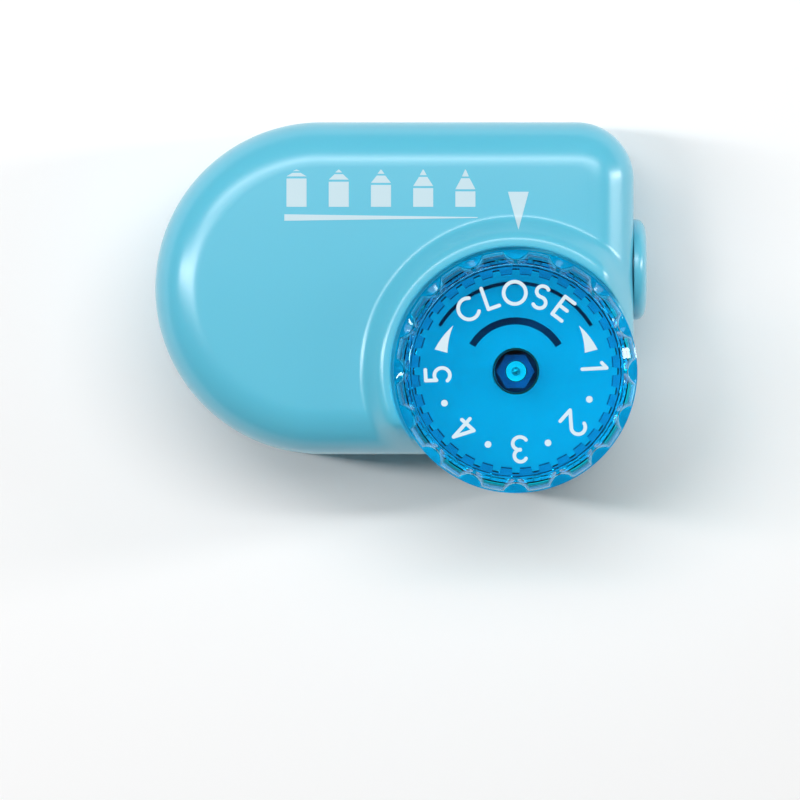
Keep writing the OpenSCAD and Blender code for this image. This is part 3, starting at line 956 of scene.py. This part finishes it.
@dataclass
class Door:
    """The shavings door's seat, hinge ears and the posts that the back half carries."""

    form: CasingForm
    radius: float = 14.2
    hinge_x: float = -2.0
    hinge_z: float = 1.7
    barrel_r: float = 1.45
    ear_start: float = 10.3
    ear_l: float = 2.0
    ear_sunk: float = 0.1
    root: float = 0.8
    case_posts: Post = Post(((25, 18.2), (1.5, 20.2), (-0.8, -15)), 3.2, 8.0, 1.2, 5, 9)
    guide_posts: Post = Post(((6.5, 14.8), (13, 14.8)), 2.2, 6.0, 0.95, 2, 7)
    pivot_post: Post = Post(((11.6, -0.6),), 2.8, 4.4, 1.0, 0.8, 6)
    shutter_post: Post = Post(((28.2, 12.2),), 2.0, 6.6, 0.8, 2, 8)
    well_r: float = 2.1
    well_top: float = 5.6
    seat_w: float = 2.6
    seat_top: float = 3.3
    gap: float = 0.25
    panel_top: float = 2.05
    ledge_w: float = 1.2
    ledge_right: float = 1.9
    frame_x: tuple[float, float] = (-1.2, 3.2)
    frame_top: float = 4.3
    hinge_way_x: tuple[float, float] = (-2.2, 1.8)
    hinge_way_top: float = 3.5
    web_top: float = 3.9
    scoop_r: float = 3.0
    scoop_l: float = 9.0
    scoop_out: float = 0.6
    scoop_z: float = -1.9

    def outline(self, grow: float, right: float) -> Array:
        """Grow the door's outline: a half round, straight sides and the hinge line.

        Args:
            grow: how far it grows all round, but for the hinge line.
            right: how far the hinge line moves to the right.

        Returns:
            Its corners, of shape (n, 2).
        """
        f = self.form
        r = self.radius + grow
        arc = arc_points(f.end[0], f.end[1], r, 90, 270, 72)
        ys = np.linspace(f.end[1] - r, f.end[1] + r, 12)
        return np.vstack([arc, np.column_stack([np.full(12, self.hinge_x + right), ys])])

    def block(self, span: tuple[float, float], x0: float, x1: float, low: float, high: float) -> Sheet:
        """A box by the hinge line, over a span along it and between two distances from it."""
        corners = np.array([[x0, span[0]], [x1, span[0]], [x1, span[1]], [x0, span[1]]])
        return prism(corners + [self.hinge_x, self.form.end[1]], low, high)

    def fit_into(self, shell: Piece) -> None:
        """Add the seat's frame and posts to the back half and cut the door's way and the wells.

        Args:
            shell: the back half.
        """
        f = self.form
        half = self.ear_start + self.ear_l
        end = half + self.ear_sunk
        posts = (self.case_posts, self.guide_posts, self.pivot_post, self.shutter_post)
        carve(shell, [prism(self.outline(self.seat_w, self.seat_w), self.root, self.seat_top)], add=True)
        carve(shell, [self.block((-half - 1, half + 1), *self.frame_x, self.root, self.frame_top)], add=True)
        carve(shell, [sheet for post in posts for sheet in post.solid(self.root)], add=True)
        carve(shell, [prism(self.outline(self.gap, self.gap), -1, self.panel_top)])
        carve(shell, [prism(self.outline(-self.ledge_w, -self.ledge_right), 1, 6)])
        carve(shell, [self.block((-half, half), *self.hinge_way_x, -2, self.hinge_way_top)])
        ears = [
            laid_along_y(cylinder(self.barrel_r, f.end[1] + a, f.end[1] + b), self.hinge_x, self.hinge_z)
            for a, b in ((-end, -self.ear_start), (self.ear_start, end))
        ]
        carve(shell, ears, add=True)
        spans = ((self.ear_start + 0.01, end), (-end, -self.ear_start - 0.01))
        webs = [self.block(span, -1, 1, self.hinge_z, self.web_top) for span in spans]
        carve(shell, webs, add=True)
        reach = self.scoop_l / 2
        scoop = cylinder(self.scoop_r, f.end[1] - reach, f.end[1] + reach)
        carve(shell, [laid_along_y(scoop, f.end[0] - self.radius - self.scoop_out, self.scoop_z)])
        carve(shell, [cylinder(self.well_r, -1, self.well_top, at) for at in self.case_posts.places])
        carve(shell, [sheet for post in posts for sheet in post.bores()])


@dataclass
class InletBoss:
    """The separate ring round the pencil inlet, with its domed face."""

    form: CasingForm
    finishes: Finishes
    y: float = 5.4
    bore: float = 4.15
    head: float = 7.1
    flange: float = 6.8
    neck: float = 5.9
    lip: float = 0.35
    rim: float = 0.3
    power: float = 0.88

    def build(self) -> Piece:
        """Turn the ring's profile about the pencil's axis.

        The face is a quarter of a squared ellipse, with radius and height going as the cosine and
        the sine of an angle to a power under one, and ends in a rolled lip at the bore.

        Returns:
            The finished piece.
        """
        f = self.form
        base, face = f.right + 0.05, f.right + f.inlet_out
        turn = np.radians(np.linspace(2, 90, 26))
        inner, low = self.bore + self.lip, base + self.rim
        dome = np.stack([inner + (self.head - inner) * np.cos(turn).clip(0) ** self.power,
                         low + (face - low) * np.sin(turn) ** self.power], axis=-1)
        roll = arc_points(inner, face - self.lip, self.lip, 90, 180, 8)
        back = f.right - f.wall
        heel, step = back - 1.15, back - 0.05
        start = [[self.bore, heel], [self.flange, heel], [self.flange, step], [self.neck, step],
                 [self.neck, base], [self.head - 0.06, base], [self.head, base + 0.06]]
        turned = revolved(np.vstack([start, dome, roll]), (0, 0), 160, True)
        ring = mesh_of("inlet_boss", [laid_along_x(turned, self.y, f.split)], 30)
        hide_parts("inlet_collar")
        return finish_piece(ring, Body.CASING, Slot.CASING, self.finishes["casing"])


# ---------------------------------------------------------------- print


@dataclass
class Pen:
    """Draws printed strokes: a flat band with round ends carried along a path."""

    width: float = 0.5
    thick: float = 0.03
    sunk: float = 0.01
    climb: float = 0.006
    over: float = 0.008
    step: float = 0.12
    caps: int = 7

    def stroke(self, path: Array, place: Place, lift: float) -> Sheet:
        """Carry a band along a path.

        Half the width at distance s from either end is that of a half disc, so the ends are round.
        The band climbs by a hair along its length, so that it can pass over itself.

        Args:
            path: points of shape (n, 2) in the glyph's own millimetres.
            place: turns rows of glyph points and a height into the frame's points.
            lift: extra thickness, to lie over an earlier stroke.

        Returns:
            The closed band.
        """
        half = self.width / 2
        ends = np.linalg.norm(np.diff(path, axis=0), axis=1)
        along = np.concatenate([[0], np.cumsum(ends)])
        cap = half * (1 - np.cos(np.linspace(0, np.pi / 2, self.caps)))
        body = np.linspace(0, along[-1], max(3, int(along[-1] / self.step)))[1:-1]
        s = np.concatenate([cap - half, body, along[-1] + half - cap[::-1]])
        inside = np.clip(s, 0, along[-1])
        line = np.stack([np.interp(inside, along, path[:, k]) for k in (0, 1)], axis=-1)
        first, last = path[1] - path[0], path[-1] - path[-2]
        line += np.minimum(s, 0)[:, None] * first / np.linalg.norm(first)
        line += np.maximum(s - along[-1], 0)[:, None] * last / np.linalg.norm(last)
        heading = np.gradient(line, axis=0)
        heading /= np.maximum(np.linalg.norm(heading, axis=1, keepdims=True), TINY)
        side = np.stack([-heading[:, 1], heading[:, 0]], axis=-1)
        past = np.maximum(np.maximum(-s, s - along[-1]), 0)
        reach = np.sqrt(np.maximum(half**2 - past**2, 0))[:, None]
        return self.band(line + side * reach, line - side * reach, place, lift)

    def band(self, left: Array, right: Array, place: Place, lift: float = 0.0) -> Sheet:
        """Fill between two edges with a thin film that follows the surface it lies on.

        Args:
            left: points of one edge, of shape (n, 2).
            right: the matching points of the other edge.
            place: turns rows of points and a height into the frame's points.
            lift: extra thickness.

        Returns:
            The closed film.
        """
        high = self.thick + lift + self.climb * np.linspace(0, 1, len(left))
        low = np.full(len(left), -self.sunk)
        shares = np.array([0, 0.25, 0.5, 0.75, 1])
        stack = [(share, low) for share in shares] + [(share, high) for share in shares[::-1]]
        flat = [
            place(np.column_stack([left + share * (right - left), height]))
            for share, height in stack
        ]
        return capped(np.stack(flat, axis=1))

    def patch(self, outline: Array, place: Place) -> Sheet:
        """Fill a shape that can be seen whole from its own middle."""
        return prism(outline, -self.sunk, self.thick, place)

    def glyph(self, strokes: Sequence[Array], place: Place) -> list[Sheet]:
        """Draw strokes, each laid a hair over the one before."""
        return [self.stroke(path, place, self.over * k) for k, path in enumerate(strokes)]


def legs(*points: tuple[float, float]) -> list[Array]:
    """Straight strokes through points, one for each pair of neighbours."""
    return [np.array([a, b], dtype=float) for a, b in zip(points[:-1], points[1:])]


def bend(
    cx: float, cy: float, rx: float, ry: float, start: float, end: float, count: int = 28
) -> Array:
    """Points of an elliptical stroke."""
    a = np.radians(np.linspace(start, end, count))
    return np.stack([cx + rx * np.cos(a), cy + ry * np.sin(a)], axis=-1)


# Strokes of each sign about its own middle, in millimetres, with its top towards +Y.
GLYPHS: dict[str, list[Array]] = {
    "1": legs((-0.55, 1.05), (0.2, 1.7), (0.2, -1.7)),
    "2": [bend(0, 0.72, 0.98, 0.98, 165, -38), *legs((0.77, 0.12), (-1.0, -1.7), (1.05, -1.7))],
    "3": [bend(0, 0.85, 0.86, 0.85, 150, -90), bend(0, -0.85, 1.0, 0.9, 90, -150)],
    "4": legs((0.35, -1.7), (0.35, 1.7), (-1.15, -0.85), (1.1, -0.85)),
    "5": [*legs((0.85, 1.7), (-0.65, 1.7), (-0.68, 0.22)), bend(-0.02, -0.6, 1.02, 1.08, 130, -140)],
    "C": [bend(0.15, 0, 1.45, 1.5, 50, 310)],
    "L": legs((-0.75, 1.55), (-0.75, -1.5), (0.85, -1.5)),
    "O": [bend(0, 0, 1.55, 1.55, 90, 450, 48)],
    "S": [np.vstack([bend(0.02, 0.75, 0.86, 0.78, 40, 250), bend(0, -0.8, 0.92, 0.8, 70, -140)])],
    "E": legs((0.85, 1.5), (-0.8, 1.5), (-0.8, -1.5), (0.85, -1.5)) + legs((-0.8, 0.05), (0.6, 0.05)),
}


def print_pieces(
    owner: str, groups: dict[str, list[Sheet]], body: Body, ink: Material
) -> list[Piece]:
    """Make one finished piece of each group of printed films.

    Args:
        owner: the printed part's name.
        groups: the films by label.
        body: the body that they move with.
        ink: their material.

    Returns:
        The finished pieces.
    """
    return [
        finish_piece(mesh_of(f"{owner}_print_{label}", sheets, PRINT_FOLD), body, Slot.PRINT, ink)
        for label, sheets in groups.items()
    ]


@dataclass
class Dial:
    """The see-through dial with its flutes, click teeth and hub, and the print on its face."""

    form: CasingForm
    finishes: Finishes
    top: float
    foot: float = 23.6
    plate: float = 1.7
    face_r: float = 15.1
    radius: float = 17.0
    flutes: int = 16
    flute_depth: float = 1.1
    flute_deg: float = 6.2
    ledge: float = 25.3
    skirt_r: tuple[float, float] = (15.45, 15.6)
    teeth_r: tuple[float, float, float] = (13.35, 14.1, 14.8)
    teeth_l: float = 3.6
    tooth_deg: float = 3.6
    draft: float = 0.13
    air: float = 0.03
    hub_r: float = 2.95
    hub_low: float = 19.5
    key_r: float = 2.68
    key_low: float = 16.95
    tip_r: float = 1.5
    tip_low: float = 26.5
    shank_r: float = 1.1
    angles: int = 960
    print_r: float = 10.9
    pen: Pen = field(default_factory=lambda: Pen(0.5, 0.04))
    figure_deg: tuple[float, ...] = (87, 132, 177, 222, 267)
    dot_deg: tuple[float, ...] = (111, 156, 201, 246)
    dot_r: float = 0.47
    closed_deg: tuple[float, ...] = (-38, -19.5, -1, 18.5, 37)
    pointer_start: float = 54
    pointer_span: float = 21
    pointer_w: float = 0.92

    def build(self) -> list[Piece]:
        """Build the cap, its click teeth, its screw and its print."""
        return [self.build_cap(), self.build_teeth(), *self.build_screw(), *self.build_print()]

    def clock(self, degrees: float) -> float:
        """Turn a clock angle, clockwise from the top, into radians from +X."""
        return math.radians(90 - degrees)

    def spin(self, radii: Array, heights: Array, angle: Array, closed: bool) -> Sheet:
        """Turn rows of radii and heights, one row for each angle, about the dial's axis."""
        x, y = around(self.form.dial, radii, angle[:, None])
        return Sheet(np.stack([x, y, np.broadcast_to(heights, x.shape)], axis=-1), True, closed)

    def even_angles(self) -> Array:
        """Angles of the grid's rows, half a step off the axes."""
        return (np.arange(self.angles) + 0.5) * FULL / self.angles

    def build_cap(self) -> Piece:
        """Build one closed surface: face, shoulder, fluted grip, foot, drafted inside and hub.

        Each flute draws the grip in by a parabola across it, a + b (1 - (angle / half)^2), growing
        from nothing at the face's rim and ending in a ledge near the foot.

        Returns:
            The finished piece.
        """
        angle = self.even_angles()
        n = len(angle)
        pitch = FULL / self.flutes
        off = np.mod(angle - math.pi / 2 + pitch / 2, pitch) - pitch / 2
        scoop = np.clip(1 - (off / math.radians(self.flute_deg)) ** 2, 0, 1)
        under = self.top - self.plate
        rim = arc_points(self.face_r - 0.25, self.top - 0.25, 0.25, 90, 50, 5)
        shoulder = np.vstack([
            np.column_stack([np.array([0, 2, 5, 8, 11, 13, 14.3]), np.full(7, self.top)]), rim,
            [[15.6, self.top - 0.4], [16.1, self.top - 0.8], [16.55, self.top - 1.5]],
        ])
        grip_h = np.concatenate([np.linspace(self.top - 2.3, self.ledge + 0.5, 6),
                                 self.ledge + np.array([0.35, 0.2, 0.08, 0.0])])
        slack = self.radius - 0.06 - 0.3 * (grip_h - self.foot) / (self.top - self.foot)
        foot_ring = np.array([[self.radius, self.ledge - 0.1], [self.radius, self.foot + 0.15],
                              [self.radius - 0.12, self.foot]])
        outer = np.vstack([shoulder, np.column_stack([slack, grip_h]), foot_ring])
        fade = np.clip((outer[:, 1] - self.ledge) / 0.35, 0, 1)
        bite = np.clip((outer[:, 0] - self.face_r + 0.1) / 1.2, 0, 1)
        outer_r = outer[:, 0][None, :] - self.flute_depth * scoop[:, None] * (fade * bite)[None, :]

        narrow, wide = self.skirt_r
        inside = np.array([
            [wide, self.foot], [wide - 0.1, self.foot + 1.5], [narrow + 0.05, under + 0.3],
            [narrow - 0.2, under], [12.0, under], [8.0, under], [5.0, under],
            [self.hub_r + 0.3, under], [self.hub_r, under - 0.3], [self.hub_r, self.hub_low],
            [self.shank_r, self.hub_low], [self.shank_r, self.tip_low], [self.tip_r, self.tip_low],
            [self.tip_r, under - 0.1], [self.tip_r - 0.1, under], [0, under],
        ])
        radii = np.hstack([outer_r, np.broadcast_to(inside[:, 0], (n, len(inside)))])
        heights = np.concatenate([outer[:, 1], inside[:, 1]])
        cap = mesh_of("dial_shell", [self.spin(radii, heights, angle, False)], FINE_FOLD)
        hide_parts("dial_cap")
        return finish_piece(cap, Body.DIAL, Slot.DIAL, self.finishes["dial"])

    def build_teeth(self) -> Piece:
        """Build the click teeth under the plate: a ring whose inner radius steps at even angles.

        Returns:
            The finished piece.
        """
        angle = self.even_angles()
        n = len(angle)
        pitch = FULL / (2 * self.flutes)
        off = np.abs(np.mod(angle - math.pi / 2, pitch) - pitch / 2)
        tooth = np.clip((math.radians(self.tooth_deg) - off) / math.radians(0.4), 0, 1)[:, None]
        inner = self.teeth_r[1] - (self.teeth_r[1] - self.teeth_r[0]) * tooth
        outer = np.full((n, 1), self.teeth_r[2])
        high = self.top - self.plate - self.air
        low = high - self.teeth_l
        soft = 0.12
        columns = [(outer - soft, high), (outer, high - soft), (outer - self.draft, low + soft),
                   (outer - self.draft - soft, low), (inner + self.draft + soft, low),
                   (inner + self.draft, low + soft), (inner, high - soft), (inner + soft, high)]
        radii = np.hstack([r for r, _ in columns])
        heights = np.array([h for _, h in columns])
        ring = mesh_of("dial_click_teeth", [self.spin(radii, heights, angle, True)], FINE_FOLD)
        return finish_piece(ring, Body.DIAL, Slot.DIAL, self.finishes["dial"])

    def build_screw(self) -> list[Piece]:
        """Build the six-sided key, the hub's screw with its fluted tip and the pale floor round it, a painted
        highlight for the glint off the screw's end.

        The tip's radius swells and shrinks as the cosine of six times the angle.

        Returns:
            The finished pieces.
        """
        count = 144
        angle = (np.arange(count) + 0.5) * FULL / count
        low = self.key_low - 0.7
        shank = self.shank_r - 0.05
        profile = np.array([
            [0, low - 1.5], [1.9, low - 1.5], [2.2, low - 1.2], [2.2, low], [shank, low],
            [shank, 25.6], [0.42, 26.9], [0.36, 27.5], [0, 27.7]])
        lobes = np.where(profile[:, 1] > self.tip_low, 0.2, 0.0)[None, :]
        radii = profile[:, 0][None, :] * (1 + lobes * np.cos(6 * angle)[:, None])
        screw = mesh_of("hub_screw", [self.spin(radii, profile[:, 1], angle, False)], FINE_FOLD)
        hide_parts("dial_screw")
        # Pale ring round the screw's tip: a painted highlight for the glint off its end.
        well = np.array([[0.6, 0.02], [self.tip_r - 0.02, 0.02], [self.tip_r - 0.02, 0.25],
                         [0.9, 0.12], [0.6, 0.12]]) + [0, self.tip_low]
        floor = mesh_of("hub_bore_floor", [revolved(well, self.form.dial, 96, True)], FINE_FOLD)
        six = np.radians(60 * np.arange(6))
        corner = self.form.dial + self.key_r * np.stack([np.cos(six), np.sin(six)], axis=-1)
        key = mesh_of("hub_key", [prism(corner, self.key_low, self.hub_low - 0.05)], FINE_FOLD)
        return [
            finish_piece(key, Body.DIAL, Slot.DIAL, self.finishes["deep"]),
            finish_piece(screw, Body.DIAL, Slot.STEEL, self.finishes["steel"]),
            finish_piece(floor, Body.DIAL, Slot.DIAL, self.finishes["frosted"]),
        ]

    def place_at(self, degrees: float) -> Place:
        """Give the map from a glyph's own points to the dial's face, its top pointing outwards.

        Args:
            degrees: the glyph's clock angle.

        Returns:
            The map.
        """
        turn = self.clock(degrees)
        out = np.array([math.cos(turn), math.sin(turn)])
        side = np.array([out[1], -out[0]])
        centre = self.form.dial + out * self.print_r

        def place(p: Array) -> Array:
            """Lay the glyph's axes along the side and out directions."""
            return np.column_stack([centre + p[:, :1] * side + p[:, 1:2] * out, self.top + p[:, 2]])

        return place

    def signs(self, text: str, degrees: Sequence[float]) -> list[Sheet]:
        """Draw each sign at its clock angle."""
        pairs = zip(text, degrees)
        return [band for sign, at in pairs for band in self.pen.glyph(GLYPHS[sign], self.place_at(at))]

    def build_print(self) -> list[Piece]:
        """Print figures, dots between them, the closed mark and two pointers.

        Returns:
            The finished pieces.
        """
        dot = arc_points(0, 0, self.dot_r, 0, 345, 24)
        groups = {
            "figures": self.signs("12345", self.figure_deg),
            "dots": [self.pen.patch(dot, self.place_at(at)) for at in self.dot_deg],
            "closed_mark": self.signs("CLOSE", self.closed_deg),
            "pointers": [self.pointer(side) for side in (-1, 1)],
        }
        return print_pieces("dial", groups, Body.DIAL, self.finishes["ink"])

    def pointer(self, sign: int) -> Sheet:
        """A tapered pointer that follows the ring of print towards the closed mark.

        Args:
            sign: minus one for the left pointer, one for the right.

        Returns:
            The closed film.
        """
        share = np.linspace(0, 1, 16)
        turn = np.radians(90 - sign * (self.pointer_start + self.pointer_span * share))
        way = np.stack([np.cos(turn), np.sin(turn)], axis=-1)
        centre, half = self.print_r - 0.1, self.pointer_w * share[:, None]

        def place(p: Array) -> Array:
            """Measure from the dial's centre and face."""
            return np.column_stack([self.form.dial + p[:, :2], self.top + p[:, 2]])

        return self.pen.band(way * (centre + half), way * (centre - half), place)


@dataclass
class CasingPrint:
    """White print on the front: an arrow above the dial and a row of pencil points."""

    form: CasingForm
    finishes: Finishes
    arrow_x: float = 16.4
    arrow_base: float = 16.1
    arrow_tip: float = 10.75
    arrow_w: float = 2.9
    row_left: float = -14.6
    row_y: float = 16.6
    pitch: float = 5.9
    point_half: tuple[float, float] = (1.4, 2.6)
    tapers: tuple[float, float] = (1.1, 2.9)
    lead: float = 0.42
    wedge_drop: float = 4.1
    pen: Pen = field(default_factory=lambda: Pen(0.6, 0.03))

    def place(self, p: Array) -> Array:
        """Lay print points on the front, over the collar's slope where they reach it.

        Args:
            p: points and their heights over the front.

        Returns:
            The frame's points.
        """
        x, y = p[:, 0] - self.form.dial[0], p[:, 1] - self.form.dial[1]
        height = self.form.front_height(np.hypot(x, y), np.arctan2(y, x))
        return np.column_stack([p[:, :2], height + p[:, 2]])

    def upright(self, x: float, y: Array, half: Array) -> Sheet:
        """A band up from point to point that is twice half wide about x."""
        return self.pen.band(np.column_stack([x - half, y]), np.column_stack([x + half, y]), self.place)

    def pencil_point(self, x: float, taper: float) -> list[Sheet]:
        """Draw a pencil's barrel, its bare wood and its lead, with gaps between them.

        Args:
            x: its middle.
            taper: the length of wood and lead.

        Returns:
            The three closed films.
        """
        w, rise = self.point_half
        low, high = self.row_y - rise, self.row_y + rise
        neck, lead = high - taper, high - self.lead * taper
        parts = ((low, neck - 0.15, w, w), (neck + 0.15, lead, w, self.lead * w),
                 (lead + 0.25, high, self.lead * w - 0.1, 0.05))
        return [
            self.upright(x, np.linspace(start, end, 8), np.linspace(wide, thin, 8))
            for start, end, wide, thin in parts
        ]

    def build(self) -> list[Piece]:
        """Print the arrow, five pencil points of growing sharpness and a wedge under them.

        Returns:
            The finished pieces.
        """
        share = np.linspace(0, 1, 36)
        height = self.arrow_base + (self.arrow_tip - self.arrow_base) * share
        reach = np.linspace(self.row_left - 1.7, self.row_left + 4 * self.pitch + 1.7, 12)
        level, drop = self.row_y - self.wedge_drop, np.linspace(0.45, 0.06, 12)
        upper, lower = (np.column_stack([reach, level + side * drop]) for side in (1, -1))
        groups = {
            "arrow": [self.upright(self.arrow_x, height, self.arrow_w / 2 * (1 - share))],
            "points": [
                film for k, taper in enumerate(np.linspace(*self.tapers, 5))
                for film in self.pencil_point(self.row_left + k * self.pitch, taper)
            ],
            "wedge": [self.pen.band(upper, lower, self.place)],
        }
        return print_pieces("casing", groups, Body.CASING, self.finishes["pale_ink"])


@dataclass
class Mechanism:
    """The working parts inside, whose shapes the frame already holds: they get their finishes."""

    finishes: Finishes
    dressed: tuple[tuple[str, str], ...] = (
        ("guide_block", "guide"), ("guide_screws", "steel"), ("carrier_pivot_pin", "steel"),
        ("shutter_pin", "steel"), ("door_hinge_pin", "steel"), ("case_screws", "steel"),
        ("cam_disc", "cam"), ("dial_washer", "steel"), ("dial_screw", "steel"),
        ("blade_carrier", "carrier"), ("blade", "blade"), ("blade_screw", "steel"),
        ("follower_pin", "steel"), ("inlet_shutter", "guide"), ("shutter_spring", "steel"),
        ("shavings_door", "casing"),
    )

    def dress(self, nodes: dict[str, Piece]) -> None:
        """Give every inner piece its finish.

        Args:
            nodes: the frame's objects by name.
        """
        for node, label in self.dressed:
            obj = nodes[node]
            for slot in obj.material_slots:
                slot.material = self.finishes[label]
            LOG.info("%s dressed in %s", node, label)


@dataclass
class Studio:
    """Pale floor, soft lamps and the camera above the front."""

    centre: tuple[float, float] = (-0.14, -13.0)
    view_width: float = 112.4
    distance: float = 1400.0
    aim_z: float = 16.0
    sensor: float = 36.0
    floor_half: float = 900.0
    floor_z: float = -0.02
    paper: float = 0.97
    sky: float = 0.09
    lamps: tuple[tuple, ...] = (
        ("key", (0, 262, 700), (1000, 380), 2.7),
        ("key_core", (0, 300, 690), (900, 50), 1.5),
        ("left_strip", (-430, 60, 540), (60, 460), 1.9),
        ("right_strip", (620, 90, 140), (60, 460), 1.8),
    )

    def build(self) -> None:
        """Set up everything round the object."""
        self.add_floor()
        for lamp in self.lamps:
            self.add_lamp(*lamp)
        self.add_camera()
        world = bpy.data.worlds.new("studio")
        world.use_nodes = True
        sky = world.node_tree.nodes["Background"]
        Wiring(world.node_tree).give(sky, Color=(1, 1, 1, 1), Strength=self.sky)
        bpy.context.scene.world = world
        bpy.context.scene.view_settings.view_transform = "Standard"

    def add_floor(self) -> None:
        """A wide sheet of pale paper with a faint tooth, just under the resting face."""
        line = np.linspace(-self.floor_half, self.floor_half, 9)
        x, y = np.meshgrid(line, line, indexing="ij")
        floor = mesh_of("floor", [Sheet(np.stack([x, y, np.full(x.shape, self.floor_z)], -1), False, False)])
        material, w, shader, _ = new_material("pale_paper")
        bump = w.add("ShaderNodeBump", Height=w.noise(900.0, 2.0), Strength=0.2, Distance=0.02 * MM)
        w.give(shader, Normal=bump.outputs[0], Base_Color=(*[self.paper] * 3, 1), Roughness=0.9)
        floor.data.materials.append(material)
        floor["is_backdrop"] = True

    def add_lamp(
        self, name: str, at: tuple[float, float, float], size: tuple[float, float], power: float
    ) -> None:
        """Hang a soft rectangular lamp that points at the object.

        Args:
            name: the lamp's name.
            at: its place, in millimetres.
            size: its width and height, in millimetres.
            power: its power, in watts.
        """
        lamp = bpy.data.lights.new(name, "AREA")
        lamp.shape = "RECTANGLE"
        lamp.size, lamp.size_y = size[0] * MM, size[1] * MM
        lamp.energy = power
        obj = bpy.data.objects.new(name, lamp)
        bpy.context.scene.collection.objects.link(obj)
        place = np.array(at) * MM
        obj.location = place
        obj.rotation_euler = (-Vector(place)).to_track_quat("-Z", "Y").to_euler()

    def add_camera(self) -> None:
        """Look straight down on the front from far enough that sides hardly show."""
        camera = bpy.data.cameras.new("camera")
        camera.sensor_width = self.sensor
        camera.lens = self.sensor * self.distance / self.view_width
        camera.clip_start, camera.clip_end = 0.01, 20
        obj = bpy.data.objects.new("camera", camera)
        bpy.context.scene.collection.objects.link(obj)
        obj.location = (self.centre[0] * MM, self.centre[1] * MM, (self.aim_z + self.distance) * MM)
        bpy.context.scene.camera = obj


def main() -> None:
    """Build every sub-assembly in order."""
    logging.basicConfig(level=logging.INFO, format="%(message)s")
    cad_box = [list(map(float, corner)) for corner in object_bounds()]
    low, high = (np.array(corner) / MM for corner in cad_box)
    finishes = Finishes()
    form = CasingForm((low, high))
    Mechanism(finishes).dress(frame["nodes"])
    casing = Casing(form, finishes)
    casing.build_front()
    casing.build_back()
    InletBoss(form, finishes).build()
    Dial(form, finishes, top=float(high[2]) - 0.04).build()
    CasingPrint(form, finishes).build()
    Studio().build()


if __name__ == "__main__":
    main()
